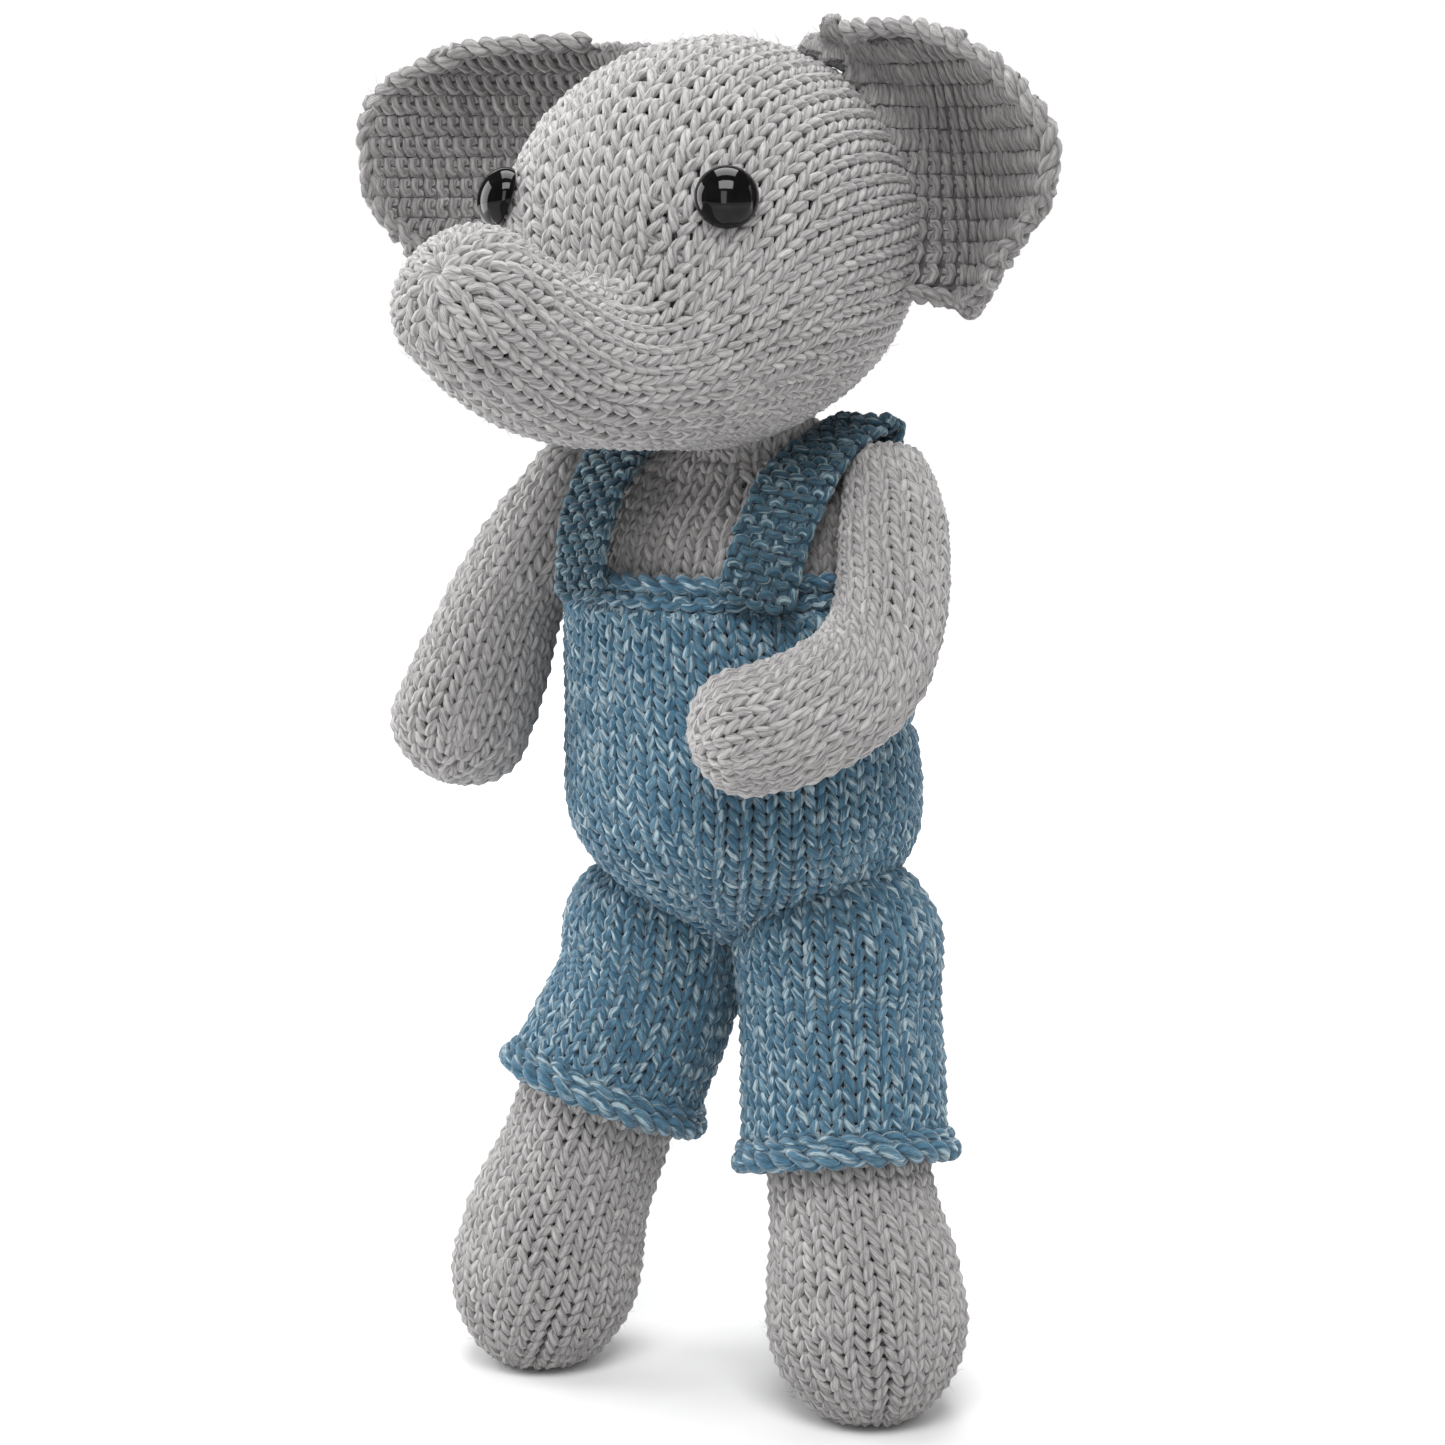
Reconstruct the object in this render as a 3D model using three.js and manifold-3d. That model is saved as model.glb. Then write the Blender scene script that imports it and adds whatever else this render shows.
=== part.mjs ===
// Hand-knitted stuffed elephant in knitted dungarees, standing. Millimetres.
// +Z up, the toy looks along -Y, +X is the toy's own left.
// Origin: centre of the bounding box in plan, on the plane of the soles.
import * as THREE from 'three';
import { mergeVertices } from 'three/addons/utils/BufferGeometryUtils.js';
import Module from 'manifold-3d';

const wasm = await Module();
wasm.setup();

// ---------------------------------------------------------------- dimensions
const SKIN = 3.0;            // thickness of the knitted fabric
const AIR = 0.45;            // running gap between fabric, filling and clothes
const SHIFT = [6.853, 33.116, 0];   // neck axis from the centre of the box
const HEAD_TURN = -9;        // degrees about +Z: the head looks to its own right
const HEAD_Y = -13;          // centre of the head ahead of the neck
const EYE_R = 6.0;           // 12 mm safety eyes
const EYE_X = 25, EYE_Z = 235.2;
const EYE_POST_R = 1.6, EYE_POST_L = 6.6;
const WASHER_R = 5.4, WASHER_T = 1.0;
const NECK_Z = 186.4, NECK_R = 9.6, NECK_YARN_R = 1.15;
const NECK_HOLE_R = 8.5;
const BIB_TOP = 163, BACK_TOP = 142, SEAT_Z = 96;
const SEGS = 18;             // facets around a limb

// Sections along a piece: x, y, z of the centre, half-width a, half-depth b.
// Head and trunk: distance ahead of the head's centre, height, rise of the
// axis in degrees, half-width, half-height.
const HEAD = [
  [-38, 227, 0, 15, 15], [-32, 227, 0, 25.5, 25.5], [-20, 227, 0, 36, 35.5],
  [-4, 226.5, -2, 41, 40], [12, 224.5, -8, 39.5, 38], [24, 218, -17, 34, 31.5],
  [32, 210.5, -18, 28, 24], [39, 206, -8, 22, 18], [47, 205.5, 8, 19, 16],
  [57, 208.5, 22, 17, 15.5], [67, 213.5, 28, 16, 15], [76, 218.5, 32, 14.5, 14]];
const TORSO = [
  [1, 0, 99.4, 20, 17], [1, 0, 103, 27, 24], [0, -1, 111, 32, 29],
  [-0.5, -1, 125, 32.5, 29.8], [-2, -1.2, 142, 31.5, 29], [-4, -1.5, 158, 29.5, 26.5],
  [-4, -1, 170, 27, 23], [-3.5, -0.5, 178.5, 23.5, 18.5], [-3, 0, 183.4, 17, 13]];
const ARM_L = [
  [33.5, 1, 181.5, 8.5, 9.5], [36, -6, 171.5, 10, 11], [38.5, -18.5, 158.5, 11, 11.5],
  [37, -29.5, 147.5, 12, 12], [29, -40, 140.8, 12.5, 13], [20.5, -45.5, 138, 12.5, 13.2]];
const ARM_R = [
  [-38.5, 0, 180.5, 8.5, 9.5], [-44.5, -3, 168, 11, 12], [-50.5, -7, 155, 12, 12.5],
  [-53.5, -13, 142, 13, 13.5], [-56, -19, 131.5, 13.5, 13.8]];
const LEG_L = [
  [18.6, -1, 79, 14, 12.5], [20, -2.5, 74, 15.2, 14], [23.5, -8, 62, 16, 16],
  [28, -12.5, 42, 16.5, 16.5], [31, -15.5, 30, 18.5, 18], [33, -18, 20, 19.5, 19.5]];
const LEG_R = [
  [-18.6, -1, 79, 14, 12.5], [-20.5, -2.5, 74, 15.2, 14], [-26, -7, 62, 16.5, 16.5],
  [-31.5, -11, 42, 17, 17], [-34, -14, 30, 18.5, 18], [-35, -16.5, 20, 19.5, 19.5]];
const SHORT_L = [
  [18.6, -1, 79, 17.6, 16], [20, -2.5, 74, 18.9, 17.6], [23.3, -7, 62, 19.8, 19.6],
  [26, -10.5, 48, 20.3, 20.3]];
const SHORT_R = [
  [-18.6, -1, 79, 17.6, 16], [-20.5, -2.5, 74, 19.2, 17.6], [-25.6, -6.5, 64, 20, 20],
  [-28.5, -9, 55, 20.5, 20.5]];
const HIP_Z = 78;
// Ear: points along the seam on the head and along the free edge.
const EAR_ROOT = [[19, -6, 263], [27, -1, 257.5], [33, 3, 249], [37, 5, 238.5], [39, 6, 228], [40, 5, 219]];
const EAR_RIM_L = [[27, -6, 268], [51, -12, 266], [69, -15, 255], [76, -14, 241.5], [67, -10, 227], [52, -4, 212.5]];
const EAR_RIM_R = [[30, -6, 267], [57, -12, 266.5], [80, -15, 257.5], [86, -14, 246], [82, -12, 231], [60, -6, 214]];
const EAR_T = 3.2, EAR_DISH = 5.0, EAR_START = 0.2;

// ------------------------------------------------------------------- helpers
const V = (x, y, z) => new THREE.Vector3(x, y, z);

// Smooth curve through rows of numbers, n steps a span.
function rows(keys, n) {
  const k = [keys[0].map((v, i) => 2 * v - keys[1][i]), ...keys,
    keys[keys.length - 1].map((v, i) => 2 * v - keys[keys.length - 2][i])];
  const out = [];
  for (let i = 1; i < k.length - 2; i++) {
    for (let j = 0; j < n; j++) {
      const t = j / n;
      out.push(k[i].map((p1, c) => {
        const p0 = k[i - 1][c], p2 = k[i + 1][c], p3 = k[i + 2][c];
        return 0.5 * (2 * p1 + (p2 - p0) * t + (2 * p0 - 5 * p1 + 4 * p2 - p3) * t * t
          + (3 * p1 - p0 - 3 * p2 + p3) * t * t * t);
      }));
    }
  }
  out.push(k[k.length - 2]);
  return out;
}

// Sections as { c: centre, t: direction, a, b } from key rows.
function sections(keys, n, { cap0 = 0, cap1 = 0, ncap = 3, grow = 0, level = false } = {}) {
  const r = rows(keys, n);
  const s = r.map((q, i) => {
    let t;
    if (q.length > 5) t = V(q[5], q[6], q[7]);
    else if (level) t = V(0, 0, keys[keys.length - 1][2] > keys[0][2] ? 1 : -1);
    else {
      const p = r[Math.max(0, i - 1)], w = r[Math.min(r.length - 1, i + 1)];
      t = V(w[0] - p[0], w[1] - p[1], w[2] - p[2]);
    }
    return { c: V(q[0], q[1], q[2]), t: t.normalize(), a: q[3] + grow, b: q[4] + grow };
  });
  const cap = (e, h, sign) => {
    const out = [];
    for (let i = 1; i <= ncap; i++) {
      const ph = (i / (ncap + 0.35)) * Math.PI / 2;
      out.push({ c: e.c.clone().addScaledVector(e.t, sign * Math.sin(ph) * h), t: e.t.clone(),
        a: e.a * Math.cos(ph), b: e.b * Math.cos(ph) });
    }
    out.push({ c: e.c.clone().addScaledVector(e.t, sign * h), pole: true });
    return out;
  };
  const head = cap0 ? cap(s[0], cap0 + grow, -1).reverse() : [{ c: s[0].c.clone(), pole: true }];
  const tail = cap1 ? cap(s[s.length - 1], cap1 + grow, 1) : [{ c: s[s.length - 1].c.clone(), pole: true }];
  return [...head, ...s, ...tail];
}

// Closed body through the sections: a sphere whose rows are laid on them.
// ref points along the half-width a.
function loft(sec, ref, seg = SEGS) {
  const g = new THREE.SphereGeometry(1, seg, sec.length - 1);
  const pos = g.attributes.position;
  sec.forEach((s, i) => {
    for (let j = 0; j <= seg; j++) {
      const p = s.c.clone();
      if (!s.pole) {
        const u = ref.clone().addScaledVector(s.t, -s.t.dot(ref)).normalize();
        const v = new THREE.Vector3().crossVectors(s.t, u);
        const th = ((j % seg) / seg) * 2 * Math.PI;
        p.addScaledVector(u, s.a * Math.cos(th)).addScaledVector(v, s.b * Math.sin(th));
      }
      pos.setXYZ(i * (seg + 1) + j, p.x, p.y, p.z);
    }
  });
  return g;
}

const bare = (g) => {
  g.deleteAttribute('normal');
  g.deleteAttribute('uv');
  return mergeVertices(g, 1e-4);
};

function volume(pos, idx) {
  let v = 0;
  for (let i = 0; i < idx.length; i += 3) {
    const [a, b, c] = [0, 1, 2].map((k) => V(pos[3 * idx[i + k]], pos[3 * idx[i + k] + 1], pos[3 * idx[i + k] + 2]));
    v += a.dot(b.cross(c)) / 6;
  }
  return v;
}

// Geometry to solid, with its faces turned outwards.
function solid(g) {
  const m = bare(g.index ? g : mergeVertices(g));
  const vertProperties = new Float32Array(m.attributes.position.array);
  const triVerts = new Uint32Array(m.index.array);
  if (volume(vertProperties, triVerts) < 0) {
    for (let i = 0; i < triVerts.length; i += 3) {
      const k = triVerts[i + 1]; triVerts[i + 1] = triVerts[i + 2]; triVerts[i + 2] = k;
    }
  }
  return new wasm.Manifold(new wasm.Mesh({ numProp: 3, vertProperties, triVerts }));
}

function geometry(s) {
  const m = s.getMesh();
  const g = new THREE.BufferGeometry();
  g.setAttribute('position', new THREE.BufferAttribute(new Float32Array(m.vertProperties), 3));
  g.setIndex(new THREE.BufferAttribute(new Uint32Array(m.triVerts), 1));
  g.computeVertexNormals();
  return g;
}

const at = (g, p, q) => { if (q) g.applyQuaternion(q); g.translate(p.x, p.y, p.z); return g; };
const towards = (d) => new THREE.Quaternion().setFromUnitVectors(V(0, 1, 0), d.clone().normalize());
const box = (x0, x1, y0, y1, z0, z1) => at(new THREE.BoxGeometry(x1 - x0, y1 - y0, z1 - z0), V((x0 + x1) / 2, (y0 + y1) / 2, (z0 + z1) / 2));
const rod = (p, d, l, r, seg = 12) => at(new THREE.CylinderGeometry(r, r, l, seg), p.clone().addScaledVector(d.clone().normalize(), l / 2), towards(d));

const root = new THREE.Group();
root.position.set(...SHIFT);
const headGroup = new THREE.Group();
headGroup.rotation.z = HEAD_TURN * Math.PI / 180;
root.add(headGroup);

const GREY = { color: 0x9c979b, roughness: 0.95, metalness: 0 };
const BLUE = { color: 0x4d7690, roughness: 0.93, metalness: 0 };
const FILL = { color: 0xe9e7e2, roughness: 1, metalness: 0 };
const BLACK = { color: 0x08080a, roughness: 0.08, metalness: 0 };
const MILK = { color: 0xdedcd6, roughness: 0.5, metalness: 0 };

function add(name, s, mat, group = root) {
  const mesh = new THREE.Mesh(geometry(s), new THREE.MeshStandardMaterial(mat));
  mesh.name = name;
  group.add(mesh);
}

// --------------------------------------------------------------------- head
const headKeys = HEAD.map(([f, z, tau, a, b]) => {
  const t = tau * Math.PI / 180;
  return [0, HEAD_Y - f, z, a, b, 0, -Math.cos(t), Math.sin(t)];
});
const X = V(1, 0, 0), Y = V(0, 1, 0);
const headSec = sections(headKeys, 1, { cap0: 3.5, cap1: 9 });
const headOuter = solid(loft(headSec, X, 22));
const headInner = solid(loft(sections(headKeys, 1, { cap0: 3.5, cap1: 9, grow: -SKIN }), X, 22));
const headFill = solid(loft(sections(headKeys, 1, { cap0: 3.5, cap1: 9, grow: -SKIN - 1.4 }), X, 14));

// Point and outward normal of the head's surface at a given x and z.
function onHead(x, z) {
  const sec = sections(headKeys, 8).filter((s) => !s.pole);
  let best = null;
  const point = (s, th) => {
    const u = X.clone().addScaledVector(s.t, -s.t.dot(X)).normalize();
    const v = new THREE.Vector3().crossVectors(s.t, u);
    return s.c.clone().addScaledVector(u, s.a * Math.cos(th)).addScaledVector(v, s.b * Math.sin(th));
  };
  for (let i = 1; i < sec.length * 0.6; i++) {
    for (let j = 0; j < 720; j++) {
      const th = (j / 360) * Math.PI;
      const p = point(sec[i], th);
      if (p.y > HEAD_Y) continue;
      const d = Math.hypot(p.x - x, p.z - z);
      if (!best || d < best.d) best = { d, p, i, th };
    }
  }
  const e = point(sec[best.i], best.th + 0.02).sub(point(sec[best.i], best.th - 0.02));
  const f = point(sec[best.i + 1], best.th).sub(point(sec[best.i - 1], best.th));
  const n = new THREE.Vector3().crossVectors(e, f).normalize();
  if (n.dot(best.p.clone().sub(V(0, HEAD_Y, 224))) < 0) n.negate();
  return { p: best.p, n };
}

let headSkin = headOuter.subtract(headInner)
  .subtract(solid(rod(V(0, 0, 175), V(0, 0, 1), 30, NECK_HOLE_R, 16)))
  .subtract(solid(rod(V(0, 0, 175), V(0, 0, 1), 14.8, 26, 20)));
let headStuffing = headFill;
for (const side of [1, -1]) {
  const { p, n } = onHead(side * EYE_X, EYE_Z);
  const name = side > 0 ? 'left_eye' : 'right_eye';
  const back = p.clone().addScaledVector(n, 0.6);
  const prof = [[0, 5.0], [2.2, 4.6], [4.1, 3.5], [5.4, 1.9], [EYE_R, 0.3], [5.6, 0], [EYE_POST_R, 0],
    [EYE_POST_R, -EYE_POST_L], [0, -EYE_POST_L - 0.5]].map(([r, y]) => new THREE.Vector2(r, y));
  add(name, solid(at(new THREE.LatheGeometry(prof, 14), back, towards(n))), BLACK, headGroup);
  const hole = solid(rod(p.clone().addScaledVector(n, 3), n.clone().negate(), 10, EYE_POST_R + 0.4, 12));
  headSkin = headSkin.subtract(hole);
  // Washer pressed on the post behind the fabric.
  const wz = -SKIN - 0.9;
  const ring = [[EYE_POST_R + 0.25, wz], [WASHER_R, wz], [WASHER_R, wz - WASHER_T], [EYE_POST_R + 0.25, wz - WASHER_T], [EYE_POST_R + 0.25, wz]]
    .map(([r, y]) => new THREE.Vector2(r, y));
  add(`${name}_washer`, solid(at(new THREE.LatheGeometry(ring, 12), p.clone(), towards(n))), MILK, headGroup);
  headSkin = headSkin.subtract(solid(rod(p.clone().addScaledVector(n, -SKIN - 0.5), n.clone().negate(), 6, WASHER_R + 0.5, 16)));
  headStuffing = headStuffing.subtract(solid(rod(p.clone().addScaledVector(n, 4), n.clone().negate(), 15, WASHER_R + 0.6, 12)));
}
add('head_skin', headSkin, GREY, headGroup);
add('head_stuffing', headStuffing, FILL, headGroup);

// --------------------------------------------------------------------- ears
// A dished flap: its middle lies a little behind the straight line from seam
// to free edge.
function ear(rim, sign) {
  const NU = 11, NV = 4;
  const R = rows(EAR_ROOT, 2), Q = rows(rim, 2);
  const mid = (i, w) => {
    const p = V(...R[i]).lerp(V(...Q[i]), w);
    p.y += EAR_DISH * Math.sin(Math.PI * w);
    p.x *= sign;
    return p;
  };
  const w0 = EAR_START;
  const g = new THREE.BoxGeometry(1, 1, 1, NU - 1, NV - 1, 1);
  const pos = g.attributes.position;
  for (let k = 0; k < pos.count; k++) {
    const i = Math.round((pos.getX(k) + 0.5) * (NU - 1));
    const w = w0 + (1 - w0) * (pos.getY(k) + 0.5);
    const du = mid(Math.min(NU - 1, i + 1), w).sub(mid(Math.max(0, i - 1), w));
    const dw = mid(i, Math.min(1, w + 0.05)).sub(mid(i, Math.max(0, w - 0.05)));
    const n = du.cross(dw).normalize();
    if (n.y > 0) n.negate();
    const p = mid(i, w).addScaledVector(n, pos.getZ(k) * EAR_T);
    pos.setXYZ(k, p.x, p.y, p.z);
  }
  return solid(g);
}
add('left_ear', ear(EAR_RIM_L, 1), GREY, headGroup);
add('right_ear', ear(EAR_RIM_R, -1), GREY, headGroup);

// --------------------------------------------------------------------- neck
const neckRing = [];
for (let i = 0; i <= 6; i++) {
  const a = (i / 6) * 2 * Math.PI;
  neckRing.push(new THREE.Vector2(NECK_R + NECK_YARN_R * Math.cos(a), NECK_Z + NECK_YARN_R * Math.sin(a)));
}
const upright = new THREE.Quaternion().setFromUnitVectors(V(0, 1, 0), V(0, 0, 1));
add('neck_seam', solid(at(new THREE.LatheGeometry(neckRing, 18), V(0, 0, 0), upright)), GREY);

// -------------------------------------------------------------------- torso
const torsoOpt = { level: true };
const torsoOuter = solid(loft(sections(TORSO, 1, torsoOpt), X, 20));
const innerKeys = (keys, d, z0, z1) => keys.map(([x, y, z, a, b], i) =>
  [x, y, i === 0 ? z0 : i === keys.length - 1 ? z1 : z, a - d, b - d]);
const torsoInner = solid(loft(sections(innerKeys(TORSO, SKIN, 102.2, 190), 1, torsoOpt), X, 20));
add('torso_skin', torsoOuter.subtract(torsoInner), GREY);
add('torso_stuffing', solid(loft(sections(innerKeys(TORSO, SKIN + 1.3, 102.8, 181.5), 1, torsoOpt), X, 12)), FILL);

// --------------------------------------------------------------- dungarees
const shellAt = (d, z0, z1) => solid(loft(sections(innerKeys(TORSO, -d, z0, z1), 1, torsoOpt), X, 20));
const cutBack = (() => {
  const s = new THREE.Shape([[-10, BIB_TOP + 40], [-10, BIB_TOP], [-6, BIB_TOP - 7], [-2, BACK_TOP + 4], [4, BACK_TOP],
    [70, BACK_TOP], [70, BIB_TOP + 40]].map(([y, z]) => new THREE.Vector2(y, z)));
  const g = new THREE.ExtrudeGeometry(s, { depth: 160, bevelEnabled: false });
  // shape x -> world y, shape y -> world z, depth -> world x
  g.applyMatrix4(new THREE.Matrix4().makeBasis(V(0, 1, 0), V(0, 0, 1), V(1, 0, 0)));
  g.translate(-80, 0, 0);
  return solid(g);
})();
const clothes = shellAt(SKIN + AIR, SEAT_Z, 188).subtract(shellAt(AIR, 99, 195));
add('dungarees_top', clothes.subtract(cutBack).subtract(solid(box(-80, 80, -80, 80, BIB_TOP, 260))), BLUE);

// Straps: bands over the shoulders from the bib to the back edge.
for (const [name, x0, x1] of [['left_strap', 8.5, 23], ['right_strap', -30, -15.5]]) {
  const band = shellAt(SKIN + AIR, SEAT_Z, 186.7).subtract(shellAt(AIR, 99, 183.8))
    .intersect(solid(box(x0, x1, -70, 70, 110, 240)))
    .subtract(solid(box(-80, 80, -80, -1, 90, BIB_TOP + 0.4)))
    .subtract(solid(box(-80, 80, -2, 80, 90, BACK_TOP + 0.4)))
    .subtract(solid(rod(V(0, 0, 170), V(0, 0, 1), 40, NECK_R + NECK_YARN_R + 0.5, 24)));
  add(name, band, BLUE);
}

// --------------------------------------------------------------------- arms
function limb(name, keys, o, seg, opening, sole) {
  const outer = loft(sections(keys, 1, o), Y.clone(), seg);
  let skin = solid(outer).subtract(solid(loft(sections(keys, 1, { ...o, grow: -SKIN }), Y.clone(), seg)));
  skin = skin.subtract(solid(rod(opening.p, opening.d, 14, opening.r, 12)));
  let fill = solid(loft(sections(keys, 1, { ...o, grow: -SKIN - 1.2 }), Y.clone(), 12));
  if (sole !== undefined) {
    skin = skin.subtract(solid(box(-90, 90, -90, 90, -30, 0)));
    fill = fill.subtract(solid(box(-90, 90, -90, 90, -30, SKIN)));
  }
  add(`${name}_skin`, skin, GREY);
  add(`${name}_stuffing`, fill, FILL);
}
const swap = (keys) => keys.map(([x, y, z, a, b]) => [x, y, z, b, a]);
limb('left_arm', swap(ARM_L), { cap0: 6, cap1: 11 }, 16, { p: V(31, 1, 183), d: V(-1, 0, 0.1), r: 3.5 });
limb('right_arm', swap(ARM_R), { cap0: 6, cap1: 12 }, 16, { p: V(-34, 0, 181.5), d: V(1, 0, 0.1), r: 3.5 });

// --------------------------------------------------------------------- legs
// The sole is a little flat where the toy stands on it.
const legOpt = { cap0: 12.5, cap1: 23 };
limb('left_leg', swap(LEG_L), legOpt, 18, { p: V(18.6, 0, 80), d: V(0, 0, 1), r: 5 }, 0);
limb('right_leg', swap(LEG_R), legOpt, 18, { p: V(-18.6, 0, 80), d: V(0, 0, 1), r: 5 }, 0);

// Legs of the dungarees: rounded over the hip, open at the cuff.
function short(name, keys, leg, down) {
  const inner = leg.map(([x, y, z, a, b]) => [x, y, z, b + AIR, a + AIR]);
  const s = solid(loft(sections(swap(keys), 2, { cap0: 16, cap1: 0 }), Y.clone(), 18))
    .subtract(solid(loft(sections(inner, 1, { cap0: 13, cap1: 23 }), Y.clone(), 18)));
  add(name, s, BLUE);
}
short('dungarees_left_leg', SHORT_L, LEG_L);
short('dungarees_right_leg', SHORT_R, LEG_R);

export default root;
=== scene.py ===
import bmesh
import bpy
import math
import numpy as np
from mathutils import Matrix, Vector


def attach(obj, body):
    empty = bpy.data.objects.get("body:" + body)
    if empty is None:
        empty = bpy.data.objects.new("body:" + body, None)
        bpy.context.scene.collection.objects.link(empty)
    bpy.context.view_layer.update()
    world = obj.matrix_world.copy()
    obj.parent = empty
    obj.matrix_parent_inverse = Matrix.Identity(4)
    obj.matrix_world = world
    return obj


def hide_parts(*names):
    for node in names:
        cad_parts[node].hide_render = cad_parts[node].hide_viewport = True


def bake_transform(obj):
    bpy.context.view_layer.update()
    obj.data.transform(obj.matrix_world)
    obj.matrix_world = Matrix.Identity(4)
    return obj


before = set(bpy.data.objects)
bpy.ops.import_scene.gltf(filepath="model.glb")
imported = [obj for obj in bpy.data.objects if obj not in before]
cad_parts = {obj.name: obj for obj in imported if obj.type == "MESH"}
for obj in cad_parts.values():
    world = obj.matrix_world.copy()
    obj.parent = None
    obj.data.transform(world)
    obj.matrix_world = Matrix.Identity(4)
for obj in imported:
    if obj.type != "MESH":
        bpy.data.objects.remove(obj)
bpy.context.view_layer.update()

MM = 0.001
SHIFT = np.array([6.853, 33.116, 0.0])
HEAD_TURN = -9.0
HEAD_Y = -13.0

# ------------------------------------------------------------------ shapes
HEAD = [
    (-38, 228, 0, 16, 15.5), (-32, 227.8, 0, 26, 25.5), (-20, 228.3, 0, 35.8, 34.6),
    (-4, 227.6, -2, 40.3, 38.8), (12, 224.8, -8, 39, 37.6), (24, 218.2, -17, 34, 31.3),
    (32, 211, -18, 28, 23.6), (39, 206.8, -8, 22, 17.4), (47, 206.3, 8, 19, 15.4),
    (57, 209.0, 22, 17, 15.1), (67, 213.7, 28, 16, 14.9), (76, 218.5, 32, 14.5, 14)]
TORSO = [
    (1, 0, 99.4, 20, 17, 0, 0, 1), (1, 0, 103, 27, 24, 0, 0, 1), (0, -1, 111, 32, 29, 0, 0, 1),
    (-0.5, -1, 125, 32.5, 29.8, 0, 0, 1), (-2, -1.2, 142, 31.5, 29, 0, 0, 1), (-4, -1.5, 158, 29.5, 26.5, 0, 0, 1),
    (-4, -1, 170, 27.4, 23.4, 0, -0.05, 1), (-3.2, 0.2, 178.8, 26.0, 20.8, 0, -0.18, 1), (-2.8, 2.4, 186.6, 21.5, 16.5, 0, -0.35, 1)]
ARM_L = [
    (29.2, 1.8, 182.0, 8.6, 9.6), (33.2, -5.3, 172.4, 10.7, 11.3), (37.8, -18, 158.8, 11, 11.5),
    (37, -29.5, 147.5, 12, 12), (29, -40, 140.8, 12.5, 13), (20.5, -45.5, 138, 12.5, 13.2)]
ARM_R = [
    (-38.5, 0, 180.5, 8.5, 9.5), (-44.5, -3, 168, 11, 12), (-50.5, -7, 155, 12, 12.5),
    (-53.0, -13, 142, 13.8, 13.7), (-55.2, -19, 130.5, 14.6, 14.0)]
LEG_L = [
    (18.6, -1, 79, 14, 12.5), (20, -2.5, 74, 15.2, 14), (23.5, -8, 62, 16, 16),
    (28.4, -12.5, 42, 16.8, 16.5), (31.8, -15.5, 30, 19.0, 18), (34, -18, 20, 20.3, 19.6)]
LEG_R = [
    (-18.6, -1, 79, 14, 12.5), (-20.5, -2.5, 74, 15.2, 14), (-26, -7, 62, 16.5, 16.5),
    (-32.2, -11.4, 42, 17, 17), (-35.6, -14.8, 30, 18.7, 18.3), (-37, -17.4, 20, 19.7, 19.6)]


# ----------------------------------------------------------------- surfaces
def curve(keys, n):
    """Smooth curve through rows of numbers, n steps a span."""
    k = np.asarray(keys, float)
    k = np.vstack([2 * k[0] - k[1], k, 2 * k[-1] - k[-2]])
    out = []
    t = np.arange(n)[:, None] / n
    for i in range(1, len(k) - 2):
        p0, p1, p2, p3 = k[i - 1], k[i], k[i + 1], k[i + 2]
        out.append(0.5 * (2 * p1 + (p2 - p0) * t + (2 * p0 - 5 * p1 + 4 * p2 - p3) * t**2
                          + (3 * p1 - p0 - 3 * p2 + p3) * t**3))
    out.append(k[-2][None])
    return np.vstack(out)


def unit(v):
    return v / np.maximum(np.linalg.norm(v, axis=-1, keepdims=True), 1e-12)


def sections(keys, n=12, cap0=0.0, cap1=0.0, grow=0.0, level=None, ncap=24):
    """Centres, directions and half-axes of the sections along a piece."""
    s = curve(keys, n)
    c, a, b = s[:, :3], s[:, 3] + grow, s[:, 4] + grow
    if s.shape[1] > 5:
        t = s[:, 5:8]
    elif level is not None:
        t = np.repeat(np.asarray(level, float)[None], len(s), 0)
    else:
        t = np.gradient(c, axis=0)
    t = unit(t)

    def cap(i, h, sign):
        ph = np.linspace(0, np.pi / 2, ncap + 1)[1:]
        ph[-1] = np.pi / 2 - 0.02
        return (c[i] + sign * np.sin(ph)[:, None] * h * t[i], np.repeat(t[i][None], ncap, 0),
                a[i] * np.cos(ph), b[i] * np.cos(ph))
    parts = [(c, t, a, b)]
    if cap1:
        parts.append(cap(-1, cap1 + grow, 1))
    if cap0:
        q = cap(0, cap0 + grow, -1)
        parts.insert(0, tuple(x[::-1] for x in q))
    return [np.concatenate([p[i] for p in parts]) for i in range(4)]


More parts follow.
